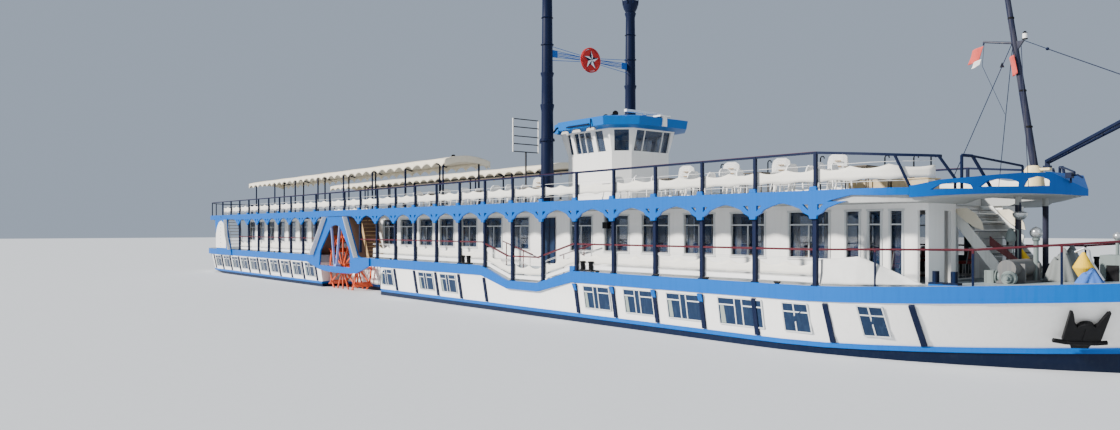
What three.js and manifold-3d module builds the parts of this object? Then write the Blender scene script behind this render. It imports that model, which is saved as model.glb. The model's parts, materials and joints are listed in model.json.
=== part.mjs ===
// Paddle steamer, a 1:2 scale model of a river excursion vessel.
// Millimetres. +X is the bow, +Y is port, +Z is up, and the origin is amidships on the waterline.
import * as THREE from "three";
import { mergeVertices } from "three/addons/utils/BufferGeometryUtils.js";
import Module from "manifold-3d";

const wasm = await Module();
wasm.setup();

// General
const gap = 0.3; // between pieces that touch
const bay = 1000; // spacing of frames, columns and rail posts
const clear = 400; // how far a cutter runs past what it cuts
const farOff = 20000; // beyond the vessel on every side
const running = 0.5; // round a pin or barrel that turns
const hinge = { radius: 8, tall: 60 };

// Hull
const keelZ = -560;
const strakeLow = 95;
const strakeHigh = 160;
const beltLow = 730;
const deckZ = 940;
const stemHalf = 12;
// Outlines of the hull by height: ends, ends of the straight part, half breadth.
const hullLevels = {
  keel: { z: keelZ, aftEnd: -14900, aftStart: -12600, foreStart: 8600, foreEnd: 13600, half: 1960 },
  bilge: { z: -330, aftEnd: -15900, aftStart: -13600, foreStart: 9200, foreEnd: 14500, half: 2160 },
  counter: { z: -100, aftEnd: -16050, aftStart: -14300, foreStart: 9600, foreEnd: 14800, half: 2185 },
  water: { z: strakeLow, aftEnd: -18250, aftStart: -15800, foreStart: 9850, foreEnd: 15100, half: 2195 },
  belt: { z: beltLow, aftEnd: -18550, aftStart: -15950, foreStart: 10800, foreEnd: 15850, half: 2290 },
};
const beltEdge = { aftEnd: -18950, aftStart: -16250, foreStart: 10800, foreEnd: 15850, half: 2310 };
const sheer = { start: 10800, end: 15850, rise: 265, power: 1.3, atWater: 1 };
const foredeckAft = 10800; // where the deck is parted into its main and fore lengths

const engineRoom = { aft: -5900, fore: -3300, half: 1000, low: strakeHigh + gap, high: 700 };

// Boarding dip in the belt, the same on both sides
const dip = { start: 2900, low: 3850, lowEnd: 4850, end: 5900, depth: 275, depthBelow: 230, inner: 1600 };

// Paddle wheels and what surrounds them
const wheel = {
  x: -4470,
  z: 625,
  radius: 1035,
  inner: 1610,
  outer: 2140,
  floats: 12,
  floatDepth: 210,
  floatThick: 22,
  armHalf: 22,
  rimOuter: 900,
  rimInner: 850,
  rimThick: 26,
  hubRadius: 120,
  axleRadius: 45,
};
const well = { aft: -5620, aftInner: -6000, foreInner: -3130, fore: -1710, inner: 1560 };
const wheelSlot = { aft: -5700, fore: -3240, inner: 1597 };
const plate = { inner: 2310.3, outer: 2350, flangeOut: 130, top: 2052 };
const wheelStairs = { top: -3290, foot: -2790, y: -1920, wide: 440, steps: 11 };

// Saloon on the main deck
const saloon = {
  aft: -14200,
  loungeAft: 2850,
  sideFore: 12034,
  fore: 12180,
  foreHalf: 1500,
  porchAft: 11850,
  porchHalf: 740,
  half: 1590,
  thick: 46,
  low: deckZ + gap,
  high: 2054.7,
  sill: 1285,
  head: 1960,
  windowWide: 660,
  windowShift: 350,
  glassThick: 8,
};
const saloonDoor = { x: 4180, wide: 400, low: 960, high: 1960, thick: 40 };
// Windows of the lounge past the evenly spaced ones: ends and sill height.
const loungeWindows = [
  { aft: 10106, fore: 10789, sill: 1285 },
  { aft: 11043, fore: 11260, sill: 1285 },
  { aft: 11384, fore: 11577, sill: 990 },
  { aft: 11697, fore: 11880, sill: 990 },
];

// Sun deck
const sun = {
  low: 2055,
  high: 2220,
  half: 2290,
  aftEnd: -18500,
  aftStart: -16000,
  foreStart: 11700,
  foreEnd: 13490,
};
const sunStops = [11000, 11300]; // extra stations on its straight sides
const hatch = { aft: 11900, fore: 12640, half: 690 };
const arcade = { inner: 2290.3, outer: 2330, top: 2235, bandLow: 2070 };
const bracketRows = [
  [-13, -6],
  [-3, 11],
];
// Half of the arch between two columns: distance from the column's middle, height.
const archSide = [
  [50, 1850],
  [62, 1895],
  [150, 1935],
  [205, 1990],
  [345, 2040],
  [500, 2078],
];
const spandrel = { near: 72, far: 165, low: 1968, high: 2048 };
const screen = { outer: 2345, panelOut: 4, flangeOut: 110, panelHalf: 620, panelLow: 990, panelHigh: 2040 };
const column = { inner: 2230, outer: 2289.7, wide: 60, first: -13, gateAft: 4, gateFore: 5, last: 11 };
const handrail = { high: 1450, deep: 28 };
const sunRail = { low: sun.high + gap, high: 2764, deep: 34, first: -15, last: 11 };
// Raked posts of the sun deck's rail: x at the top and foot, height where they turn upright.
const rakedPosts = [
  { top: 12069, foot: 12211, bend: 2245 },
  { top: 12470, foot: 12596, bend: 2345 },
];
const postIn = 58; // from the edge of the sun deck to a post behind the crown
// Handrail forward of the last column: posts as [x, height of the rail].
const bowRailing = {
  inset: 52,
  radius: 14,
  posts: [
    [11000, 1436],
    [11810, 1450],
    [12901, 1461],
    [13732, 1530],
    [14560, 1600],
  ],
};
const railIn = { near: 14, far: 48 }; // from the edge of the sun deck to a rail's two sides
const cloth = { thick: 8, deckLow: 1060, deckHigh: 1290 };
// Cloth along the sun deck's rail; it hangs inside the raked posts.
const sunCloth = { low: 2335, high: 2540, aft: -14940, fore: 12430, inset: 63 };
const crown = { start: 12240, out: 38, front: { low: [13532, 2221], high: [13290, 2440], thick: 42 } };

// Openings in one side of the crown, as [x, z] pairs from the aft lower corner round.
const crownOpenings = [
  [[12425, 2204], [12760, 2216], [12742, 2264], [12680, 2286], [12601, 2292], [12500, 2268]],
  [[12805, 2240], [13078, 2250], [13081, 2300], [13030, 2338], [12944, 2346], [12860, 2316]],
  [[13105, 2250], [13282, 2262], [13284, 2330], [13240, 2372], [13187, 2380], [13130, 2346]],
];

// Awnings
const awning = {
  aft: -12280,
  fore: 1200,
  outer: 2163,
  inner: 900,
  rowInner: 1139,
  edge: 3330,
  crownHigh: 3440,
  thick: 16,
  valance: 3150,
  postSpacing: 1810,
  postFirst: -11600,
  posts: 8,
  postWide: 34,
  bowDeep: 26,
  facets: 4,
};

// Funnels
const funnel = {
  x: 3822,
  y: 1226,
  footRadius: 142,
  topRadius: 104,
  hingeBack: 190,
  rings: [3606, 4332, 5005, 5611, 6168, 6683],
  ringOut: 24,
  top: 6970,
  crownRadius: 190,
};
const star = { z: 5457, radius: 285, disc: 235, thick: 24 };

// Wheelhouse
const house = {
  aft: 4038,
  fore: 5673,
  half: 817,
  foreHalf: 538,
  chamfer: 279,
  low: sun.high + gap,
  sill: 3255,
  head: 3725,
  lean: 120,
  thick: 40,
  roofLow: 3745,
  roofHigh: 3960,
  roofOut: 270,
  frontPane: 980,
};
const houseDoor = { wide: 340, low: 2240, high: 3200, thick: 30 };
const radar = { x: 5485, z: 4110, long: 1060, deep: 70, tall: 50 };

// Mast, boom and foredeck
const mast = { x: 12894, footZ: 2577, topX: 12380, topZ: 6050, radius: 50, topRadius: 30, gaffZ: 4265 };
const boom = {
  x: 13050,
  z: 2610,
  pitch: 27,
  long: 2850,
  radius: 26,
  spread: 200,
  heel: 50,
  cheek: 18,
  pinRadius: 8,
};
const foreStairs = { top: 12000, foot: 12815, half: 650, steps: 9, boardHigh: 260 };
const windlass = { x: 13065, y: -920, long: 800, drum: 110 };
const bollards = { aft: 12340, fore: 12710, y: -1780, radius: 42, high: 140 };
const foreRailing = { aft: 12647, knee: 12727, rake: 12873, fore: 13080, radius: 20, thin: 15 };
const rudder = { x: -16450, y: 700, top: -90, low: -540, fore: -16250, aft: -16900, thick: 40 };

const paint = {
  navy: { color: 0x10182c, roughness: 0.4, metalness: 0.1 },
  hullDark: { color: 0x0c1424, roughness: 0.45, metalness: 0.1 },
  blue: { color: 0x1489d8, roughness: 0.4, metalness: 0.05 },
  skyBlue: { color: 0x3aa2dd, roughness: 0.45, metalness: 0.05 },
  white: { color: 0xe9e9e4, roughness: 0.45, metalness: 0.0 },
  cream: { color: 0xf1e8d2, roughness: 0.85, metalness: 0.0 },
  deck: { color: 0x9aa3a6, roughness: 0.8, metalness: 0.0 },
  red: { color: 0xd8502c, roughness: 0.5, metalness: 0.1 },
  glass: { color: 0x2b3c4c, roughness: 0.08, metalness: 0.0 },
  black: { color: 0x0b0b0d, roughness: 0.55, metalness: 0.2 },
  wood: { color: 0xb08a5c, roughness: 0.7, metalness: 0.0 },
  iron: { color: 0x55595c, roughness: 0.6, metalness: 0.5 },
};

const ship = new THREE.Group();

// A closed three.js geometry as a solid that can be cut and joined.
function solid(geometry) {
  const plain = geometry.index ? geometry.toNonIndexed() : geometry.clone();
  plain.deleteAttribute("normal");
  plain.deleteAttribute("uv");
  const merged = mergeVertices(plain, 1e-3);
  return new wasm.Manifold(
    new wasm.Mesh({
      numProp: 3,
      vertProperties: merged.attributes.position.array,
      triVerts: new Uint32Array(merged.index.array),
    }),
  );
}

// Adds a named mesh of one solid to the vessel.
function addPiece(name, body, finish) {
  const made = body.getMesh();
  const geometry = new THREE.BufferGeometry();
  geometry.setAttribute("position", new THREE.BufferAttribute(made.vertProperties, 3));
  geometry.setIndex(new THREE.BufferAttribute(made.triVerts, 1));
  const mesh = new THREE.Mesh(geometry, new THREE.MeshStandardMaterial(finish));
  mesh.name = name;
  ship.add(mesh);
}

function box(x0, x1, y0, y1, z0, z1) {
  const g = new THREE.BoxGeometry(x1 - x0, y1 - y0, z1 - z0);
  return solid(g.translate((x0 + x1) / 2, (y0 + y1) / 2, (z0 + z1) / 2));
}

function extruded(points, depth, holes = []) {
  const shape = new THREE.Shape(points.map(([a, b]) => new THREE.Vector2(a, b)));
  for (const hole of holes) {
    shape.holes.push(new THREE.Path(hole.map(([a, b]) => new THREE.Vector2(a, b))));
  }
  return new THREE.ExtrudeGeometry(shape, { depth, bevelEnabled: false, steps: 1 });
}

// Outline in plan, raised from z0 to z1.
function slab(points, z0, z1) {
  return solid(extruded(points, z1 - z0).translate(0, 0, z0));
}

// Outline seen from the side (x, z), running from y0 to y1.
function profile(points, y0, y1, holes = []) {
  return solid(extruded(points, y1 - y0, holes).rotateX(Math.PI / 2).translate(0, y1, 0));
}

// Outline seen from ahead (y, z), running from x0 to x1.
function section(points, x0, x1, holes = []) {
  const turn = new THREE.Matrix4().makeBasis(
    new THREE.Vector3(0, 1, 0),
    new THREE.Vector3(0, 0, 1),
    new THREE.Vector3(1, 0, 0),
  );
  return solid(extruded(points, x1 - x0, holes).applyMatrix4(turn).translate(x0, 0, 0));
}

// Round bar between two points, tapered if the radii differ.
function bar(from, to, radius, sides = 8, radiusTo = radius) {
  const a = new THREE.Vector3(...from);
  const b = new THREE.Vector3(...to);
  const g = new THREE.CylinderGeometry(radiusTo, radius, a.distanceTo(b), sides);
  const turn = new THREE.Quaternion().setFromUnitVectors(
    new THREE.Vector3(0, 1, 0),
    b.clone().sub(a).normalize(),
  );
  return solid(g.applyQuaternion(turn).translate((a.x + b.x) / 2, (a.y + b.y) / 2, (a.z + b.z) / 2));
}

// Round body on a vertical axis from (radius, z) pairs that start and end on the axis.
function turned(pairs, x, y, sides = 18) {
  const g = new THREE.LatheGeometry(pairs.map(([r, z]) => new THREE.Vector2(r, z)), sides);
  return solid(g.rotateX(Math.PI / 2).translate(x, y, 0));
}

// Barrels of a door hinge on a vertical axis at x, y; the grown ones clear them in the frame.
function hingeBarrels(x, y, low, high, grow = 0) {
  return joined(
    [0.15, 0.85].map((share) => {
      const z = low + (high - low) * share;
      const reach = hinge.tall / 2 + grow;
      return bar([x, y, z - reach], [x, y, z + reach], hinge.radius + grow, 12);
    }),
  );
}

function joined(solids) {
  return solids.reduce((sum, next) => sum.add(next));
}

// The same piece on the other side of the centre line.
function mirrored(body) {
  return body.mirror([0, 1, 0]);
}

// Half outline from stern to bow as [x, y] pairs, for one level of the hull.
function halfOutline({ aftEnd, aftStart, foreStart, foreEnd, half, stops = [] }) {
  const aftSteps = 7;
  const foreSteps = 9;
  const points = [];
  for (let i = 0; i <= aftSteps; i += 1) {
    const turn = (i / aftSteps) * (Math.PI / 2);
    const x = aftStart - (aftStart - aftEnd) * Math.cos(turn);
    points.push([x, Math.max(stemHalf, half * Math.sin(turn))]);
  }
  for (const x of stops) points.push([x, half]);
  for (let i = 0; i <= foreSteps; i += 1) {
    const t = i / foreSteps;
    const y = stemHalf + (half - stemHalf) * (1 - t * t);
    points.push([foreStart + (foreEnd - foreStart) * t, y]);
  }
  return points;
}

// A level of the hull or deck drawn out by a distance on every side.
function grown(level, out) {
  const { aftEnd, foreEnd, half } = level;
  return { ...level, aftEnd: aftEnd - out, foreEnd: foreEnd + out, half: half + out };
}

// Half breadth of a level at x on its straight or fore part.
function halfAt({ foreStart, foreEnd, half }, x) {
  const t = Math.max(0, (x - foreStart) / (foreEnd - foreStart));
  return stemHalf + (half - stemHalf) * (1 - t * t);
}

// Height at x on a line through [x, height] pairs, level beyond its ends.
function heightAt(line, x) {
  if (x <= line[0][0]) return line[0][1];
  for (let i = 1; i < line.length; i += 1) {
    const [x0, z0] = line[i - 1];
    const [x1, z1] = line[i];
    if (x <= x1) return z0 + ((z1 - z0) * (x - x0)) / (x1 - x0);
  }
  return line[line.length - 1][1];
}

// How far the deck line has risen at x towards the bow.
function sheerAt(x) {
  const t = Math.max(0, (x - sheer.start) / (sheer.end - sheer.start));
  return sheer.rise * t ** sheer.power;
}

// Solid through outlines one above the other; each has z and the rise added to it at x.
function lofted(levels) {
  const rings = levels.map((level) => {
    const half = halfOutline(level);
    return half.map(([x, y]) => [x, y, level.z + (level.rise ? level.rise(x) : 0)]);
  });
  const count = rings[0].length;
  const positions = [];
  for (const ring of rings) {
    for (const side of [-1, 1]) {
      for (const [x, y, z] of ring) positions.push(x, side * y, z);
    }
  }
  const index = (level, side, i) => (level * 2 + side) * count + i;
  const faces = [];
  const quad = (a, b, c, d) => faces.push(a, b, c, a, c, d);
  const last = rings.length - 1;
  for (let i = 0; i < count - 1; i += 1) {
    for (let k = 0; k < last; k += 1) {
      quad(index(k, 0, i), index(k, 0, i + 1), index(k + 1, 0, i + 1), index(k + 1, 0, i));
      quad(index(k, 1, i), index(k + 1, 1, i), index(k + 1, 1, i + 1), index(k, 1, i + 1));
    }
    quad(index(last, 0, i), index(last, 0, i + 1), index(last, 1, i + 1), index(last, 1, i));
    quad(index(0, 0, i), index(0, 1, i), index(0, 1, i + 1), index(0, 0, i + 1));
  }
  for (let k = 0; k < last; k += 1) {
    quad(index(k, 0, 0), index(k + 1, 0, 0), index(k + 1, 1, 0), index(k, 1, 0));
    const e = count - 1;
    quad(index(k, 0, e), index(k, 1, e), index(k + 1, 1, e), index(k + 1, 0, e));
  }
  const g = new THREE.BufferGeometry();
  g.setAttribute("position", new THREE.BufferAttribute(new Float32Array(positions), 3));
  g.setIndex(faces);
  return solid(g);
}

// Both sides of a cut or an addition.
function bothSides(body) {
  return body.add(mirrored(body));
}

// Height of the belt's top edge at x, with the boarding dip.
function beltDrop(x) {
  if (x <= dip.start || x >= dip.end) return 0;
  if (x < dip.low) return (x - dip.start) / (dip.low - dip.start);
  if (x > dip.lowEnd) return (dip.end - x) / (dip.end - dip.lowEnd);
  return 1;
}

// Side outline of a band that follows the boarding dip.
function dippedBand(x0, x1, low, high, dropLow = dip.depth, dropHigh = dip.depth) {
  const stops = [dip.start, dip.low, dip.lowEnd, dip.end].filter((x) => x > x0 && x < x1);
  const xs = [x0, ...stops, x1];
  const lower = xs.map((x) => [x, low - dropLow * beltDrop(x)]);
  const upper = xs.map((x) => [x, high - dropHigh * beltDrop(x)]);
  return [...lower, ...upper.reverse()];
}

function wheelWells(low, high) {
  const outline = [
    [well.aft, -2310 - clear],
    [well.fore, -2310 - clear],
    [well.fore, -2310],
    [well.foreInner, -well.inner],
    [well.aftInner, -well.inner],
    [well.aft, -2310],
  ];
  return bothSides(slab(outline, low, high));
}

function hull() {
  const { keel, bilge, counter, water, belt } = hullLevels;
  const waterRise = (x) => sheerAt(x) * sheer.atWater;
  const levels = [keel, bilge, counter, { ...water, z: strakeLow - gap, rise: waterRise }];
  const trunk = box(rudder.x - 90, rudder.x + 90, rudder.y - 70, rudder.y + 70, rudder.top, 60);
  const bottom = lofted(levels).add(bothSides(trunk));
  addPiece("hull_bottom", bottom.subtract(wheelWells(keelZ - clear, deckZ)), paint.hullDark);

  const { half: waterHalf, foreEnd, aftEnd } = water;
  const proud = { ...water, half: waterHalf + 18, foreEnd: foreEnd + 30, aftEnd: aftEnd - 20 };
  const strake = lofted([
    { ...proud, z: strakeLow, rise: waterRise },
    { ...proud, z: strakeHigh, rise: waterRise },
  ]);
  addPiece("rubbing_strake", strake.subtract(wheelWells(-clear, deckZ)), paint.blue);

  const sides = lofted([
    { ...water, z: strakeHigh + gap, rise: waterRise },
    { ...belt, z: beltLow - gap, rise: sheerAt },
  ]);
  const dipCut = profile(
    dippedBand(dip.start, dip.end, beltLow - gap, beltLow + clear, dip.depthBelow + gap, 0),
    -2310 - clear,
    -dip.inner + gap,
  );
  const { fore, aft, half, low, high } = engineRoom;
  const room = box(aft, fore, -half, half, low - clear, high + clear);
  const shell = sides.subtract(wheelWells(-clear, deckZ)).subtract(bothSides(dipCut));
  addPiece("topsides", shell.subtract(room), paint.white);
  const block = box(aft + gap, fore - gap, -half + gap, half - gap, low, high);
  addPiece("engine_block", block, paint.iron);

  const deck = deckBody(0);
  const fromStern = box(-farOff, foredeckAft + gap, -farOff, farOff, 0, farOff);
  const fromBow = box(foredeckAft, farOff, -farOff, farOff, 0, farOff);
  addPiece("main_deck", deck.subtract(fromBow), paint.blue);
  addPiece("foredeck", deck.subtract(fromStern).add(bothSides(bollardPair())), paint.blue);
}

// The main deck; a lift raises its top, for seating what stands on it.
// Twin mooring posts on a plinth, standing on the foredeck.
function bollardPair() {
  const { aft, fore, y, radius, high } = bollards;
  const top = deckZ + sheerAt(fore) + 30;
  const rounds = [aft + 70, fore - 70].map((x) => bar([x, y, top - 26], [x, y, top + high], radius, 12));
  return joined([box(aft, fore, y - 60, y + 60, deckZ, top), ...rounds]);
}

function deckBody(lift) {
  const slabUncut = lofted([
    { ...beltEdge, z: beltLow, rise: sheerAt },
    { ...beltEdge, z: deckZ + lift, rise: sheerAt },
  ]);
  const dipBox = box(dip.start, dip.end, -2310 - clear, -dip.inner, beltLow - clear, deckZ + clear);
  const dipDeck = profile(
    dippedBand(dip.start, dip.end, beltLow, deckZ + lift, dip.depthBelow, dip.depth),
    -beltEdge.half,
    -dip.inner,
  );
  const slot = box(wheelSlot.aft, wheelSlot.fore, -2310 - clear, -wheelSlot.inner, 0, deckZ + clear);
  return slabUncut.subtract(bothSides(dipBox)).add(bothSides(dipDeck)).subtract(bothSides(slot));
}

// Plate with an arched opening, slanted side walls and flanges round one paddle wheel.
function paddleBox() {
  const outline = [
    [-6540, 735],
    [-6300, 690],
    [-5606, 540],
    [-5100, 495],
    [-4470, 478],
    [-3600, 488],
    [-3090, 512],
    [-2700, 620],
    [-2310, 735],
    [-2310, 938],
    [-2870, 950],
    [-2990, 1010],
    [-3655, 1990],
    [-3655, plate.top],
    [-5048, plate.top],
    [-5048, 1990],
    [-6010, 938],
    [-6540, 938],
  ];
  const opening = [
    [-5550, 655],
    [-3460, 655],
    [-3470, 1100],
    [-4020, 1690],
    [-4150, 1790],
    [-4400, 1830],
    [-4650, 1800],
    [-4780, 1730],
    [-5480, 1080],
  ];
  const face = profile(outline, -plate.outer, -plate.inner, [opening]);
  const walls = [
    [[-6010, 940 + gap], [-5048, plate.top], 1],
    [[-2950, 940 + gap], [-3655, plate.top], -1],
  ].map(([low, high, way]) => {
    const side = [low, [low[0] + way * 36, low[1]], [high[0] + way * 36, high[1]], high];
    const flange = [low, [low[0] + way * 14, low[1]], [high[0] + way * 14, high[1]], high];
    const wall = profile(side, -plate.outer, -saloon.half - 5);
    const rim = profile(flange, -plate.outer - plate.flangeOut, -plate.outer);
    return wall.add(rim);
  });
  const beamWay = box(-7000, -2000, -2287, -2232, sun.low - 43, sun.low + 9);
  return joined([face, ...walls, wheelBearing()]).subtract(beamWay);
}

// One paddle wheel: two rings, a hub, spokes, float boards and its shaft.
function paddleWheel() {
  const pieces = [];
  const arms = wheel.floats;
  const polar = (radius, turn) => [radius * Math.sin(turn), radius * Math.cos(turn)];
  const windows = [];
  for (let i = 0; i < arms; i += 1) {
    const near = (2 * Math.PI * i) / arms;
    const far = (2 * Math.PI * (i + 1)) / arms;
    const inSet = wheel.armHalf / wheel.hubRadius;
    const outSet = wheel.armHalf / wheel.rimInner;
    windows.push([
      polar(wheel.hubRadius, near + inSet),
      polar(wheel.rimInner, near + outSet),
      polar(wheel.rimInner, far - outSet),
      polar(wheel.hubRadius, far - inSet),
    ]);
  }
  for (const y of [wheel.inner + 30, wheel.outer - 30 - wheel.rimThick]) {
    pieces.push(profile(circle(wheel.rimOuter, 24), y, y + wheel.rimThick, windows));
  }
  for (let i = 0; i < arms; i += 1) {
    const board = box(
      -wheel.floatThick / 2,
      wheel.floatThick / 2,
      wheel.inner,
      wheel.outer,
      wheel.radius - wheel.floatDepth,
      wheel.radius,
    );
    pieces.push(board.rotate([0, (360 * i) / arms, 0]));
  }
  pieces.push(profile(circle(wheel.hubRadius - 20, 12), wheel.inner, wheel.outer));
  pieces.push(profile(circle(wheel.axleRadius, 12), well.inner + gap, wheel.outer + 145));
  return joined(pieces).translate([wheel.x, 0, wheel.z]).mirror([0, 1, 0]);
}

function circle(radius, sides, x = 0, z = 0) {
  const points = [];
  for (let i = 0; i < sides; i += 1) {
    const turn = (2 * Math.PI * i) / sides;
    points.push([x + radius * Math.cos(turn), z + radius * Math.sin(turn)]);
  }
  return points;
}

// Inverted V of two struts with the outer bearing of a paddle wheel.
function wheelBearing() {
  const y0 = -(wheel.outer + 30);
  const ring = profile(circle(95, 16, wheel.x, wheel.z), -plate.outer + 6, y0);
  const bore = profile(circle(wheel.axleRadius + 1.2, 16, wheel.x, wheel.z), -plate.outer + 60, y0 + 9);
  const struts = [-1, 1].map((way) => {
    const foot = wheel.x + way * 70;
    const head = wheel.x + way * 330;
    return profile(
      [
        [foot - 22, wheel.z + 70],
        [foot + 22, wheel.z + 70],
        [head + 22, plate.top - 10],
        [head - 22, plate.top - 10],
      ],
      -plate.outer + 6,
      -plate.inner + 20,
    );
  });
  return joined([ring, ...struts]).subtract(bore);
}

function wheels() {
  const sides = { starboard: (body) => body, port: mirrored };
  const boxBody = paddleBox();
  const wheelBody = paddleWheel();
  const { top, foot, y, wide, steps } = wheelStairs;
  const run = seated(stairs(top, foot, y, sun.low - gap, deckZ + gap, wide, { steps, deep: 60, edge: 14 }));
  for (const [side, place] of Object.entries(sides)) {
    addPiece("paddle_box_" + side, place(boxBody), paint.blue);
    addPiece("paddle_wheel_" + side, place(wheelBody), paint.red);
    addPiece("wheel_stairs_" + side, place(run), paint.wood);
  }
}

function saloonWindows() {
  const { half, thick, sill, head, windowWide, windowShift } = saloon;
  const cut = (x0, x1, low) => box(x0, x1, -half - 10, -half + thick + 10, low, head);
  const cuts = loungeWindows.map(({ aft, fore, sill: low }) => cut(aft, fore, low));
  for (let k = -14; k <= 9; k += 1) {
    const mid = k * bay + windowShift;
    const doorHere = Math.abs(mid - saloonDoor.x - saloonDoor.wide / 2) < 100;
    if (mid > saloon.aft + 400 && !doorHere) cuts.push(cut(mid - windowWide / 2, mid + windowWide / 2, sill));
  }
  return joined(cuts);
}

// What stands on the main deck, trimmed to sit just above it.
function seated(body) {
  return body.subtract(deckBody(gap));
}

function saloonWalls() {
  const { aft, loungeAft, sideFore, fore, half, thick, low, high, sill, head } = saloon;
  const windows = saloonWindows();
  const side = box(aft, loungeAft, -half, -half + thick, low, high).subtract(windows);
  const holes = [-900, -300, 300, 900].map((y) => {
    return box(aft - 10, aft + thick + 10, y - 210, y + 210, sill, head);
  });
  const aftWall = box(aft, aft + thick, -half, half, low, high).subtract(joined(holes));
  addPiece("saloon_walls", aftWall.add(bothSides(side)), paint.white);

  const doorCut = box(
    saloonDoor.x - 6,
    saloonDoor.x + saloonDoor.wide + 6,
    -half - 10,
    -half + thick + 10,
    saloonDoor.low - 6,
    saloonDoor.high + 6,
  );
  const hingeX = saloonDoor.x + saloonDoor.wide + 3;
  const barrels = (grow) => hingeBarrels(hingeX, -half - 2, saloonDoor.low, saloonDoor.high, grow);
  const cuts = joined([windows, doorCut, barrels(running), frontWindows()]);
  addPiece("lounge_walls", seated(loungeShell().subtract(bothSides(cuts))), paint.white);

  const glassLow = loungeWindows[3].sill + 4;
  const y0 = -half + thick + gap;
  const pane = box(aft + 200, sideFore - 90, y0, y0 + saloon.glassThick, glassLow, head - 4);
  const doorway = box(
    saloonDoor.x - 60,
    saloonDoor.x + saloonDoor.wide + 60,
    -half,
    -half + 200,
    0,
    saloonDoor.high - 40,
  );
  addPiece("saloon_glass_starboard", pane.subtract(doorway), paint.glass);
  addPiece("saloon_glass_port", mirrored(pane.subtract(doorway)), paint.glass);

  const leaf = box(
    saloonDoor.x,
    saloonDoor.x + saloonDoor.wide,
    -half,
    -half + saloonDoor.thick,
    saloonDoor.low,
    saloonDoor.high,
  );
  const door = leaf.add(barrels(0));
  addPiece("saloon_door_starboard", door, paint.white);
  addPiece("saloon_door_port", mirrored(door), paint.white);
}

// Walls of the lounge in plan: two sides, cut corners and a porch set back in the middle of the front.
function loungeShell() {
  const { loungeAft, sideFore, fore, foreHalf, porchAft, porchHalf, half, thick, low, high } = saloon;
  const plan = (inset) => {
    const corner = inset * 0.6;
    const starboard = [
      [loungeAft + gap - 2 * inset, -half + inset],
      [sideFore - corner, -half + inset],
      [fore - inset, -foreHalf + corner],
      [fore - inset, -porchHalf - inset],
      [porchAft - inset, -porchHalf - inset],
    ];
    return [...starboard, ...starboard.map(([x, y]) => [x, -y]).reverse()];
  };
  return slab(plan(0), low, high).subtract(slab(plan(thick), low - clear, high + clear));
}

// Cuts for the cut corner's pane, the pane beside the porch and the porch's door.
function frontWindows() {
  const { sideFore, fore, foreHalf, porchAft, porchHalf, half, thick, head } = saloon;
  const sill = loungeWindows[3].sill;
  return joined([
    box(sideFore + 34, fore - 32, -half - 10, -foreHalf + 40, sill, head),
    box(fore - thick - 20, fore + 20, -porchHalf - 330, -porchHalf - 130, sill, head),
    box(porchAft - thick - 20, porchAft + 20, -porchHalf + 160, -60, sill, head),
  ]);
}

function sunDeck() {
  const floor = lofted([
    { ...sun, z: sun.low },
    { ...sun, z: sun.high },
  ]);
  const underBow = profile(
    [
      [crown.start + 60, 0],
      [farOff, 0],
      [farOff, 2160],
      [13000, 2150],
      [crown.start + 200, 2110],
      [crown.start + 60, 2054],
    ],
    -farOff,
    farOff,
  );
  const posts = bothSides(bar([12863, -455, deckZ], [12863, -455, sun.high - 60], 38, 10));
  const { top, foot, y, wide } = wheelStairs;
  const wheelHatch = box(top - 280, foot - 100, y - wide / 2 - 20, y + wide / 2 + 20, 0, farOff);
  const foreHatch = box(hatch.aft, hatch.fore, -hatch.half, hatch.half, 0, farOff);
  const cut = joined([underBow, bothSides(wheelHatch), foreHatch]);
  addPiece("sun_deck", floor.subtract(cut).add(seated(posts)), paint.deck);

  const trim = joined([fascia(), ...brackets(), sternScreen()]);
  addPiece("arcade_starboard", trim, paint.blue);
  addPiece("arcade_port", mirrored(trim), paint.blue);
}

// Starboard half of a band round the sun deck between two offsets from its edge.
function deckBand(near, far, lowAt, highAt, x0, x1) {
  const level = { ...sun, stops: sunStops };
  const ring = (out, low, high) =>
    lofted([
      { ...grown(level, out), z: 0, rise: low },
      { ...grown(level, out), z: 0, rise: high },
    ]);
  const inner = ring(near, (x) => lowAt(x) - clear, (x) => highAt(x) + clear);
  const band = ring(far, lowAt, highAt).subtract(inner);
  return band.intersect(box(x0, x1, -farOff, -gap / 2, 0, farOff));
}

// Blue band over the arches, round the stern and forward to the crown.
function fascia() {
  const lowAt = () => arcade.bandLow;
  const highAt = () => arcade.top;
  const near = arcade.inner - sun.half;
  const far = arcade.outer - sun.half;
  const band = deckBand(near, far, lowAt, highAt, -farOff, crown.start);
  const foreCut = [
    [11180, 2000],
    [farOff, 2000],
    [farOff, 2118],
    [11950, 2142],
    [11560, 2156],
    [11330, 2110],
    [11180, 2069],
  ];
  return band.subtract(profile(foreCut, -farOff, farOff));
}

// Scalloped brackets on the columns, each with two cut spandrels.
function brackets() {
  const y = [-arcade.outer, -arcade.inner];
  const pieces = [];
  for (const [first, last] of bracketRows) {
    for (let k = first; k <= last; k += 1) {
      const x = k * bay;
      const right = archSide.map(([d, z]) => [x + d, z]);
      const left = archSide.map(([d, z]) => [x - d, z]).reverse();
      const holes = [-1, 1].map((way) => [
        [x + way * spandrel.near, spandrel.low],
        [x + way * spandrel.far, spandrel.high],
        [x + way * spandrel.near, spandrel.high],
      ]);
      pieces.push(profile([...right, ...left], ...y, holes));
    }
  }
  return pieces;
}

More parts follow.
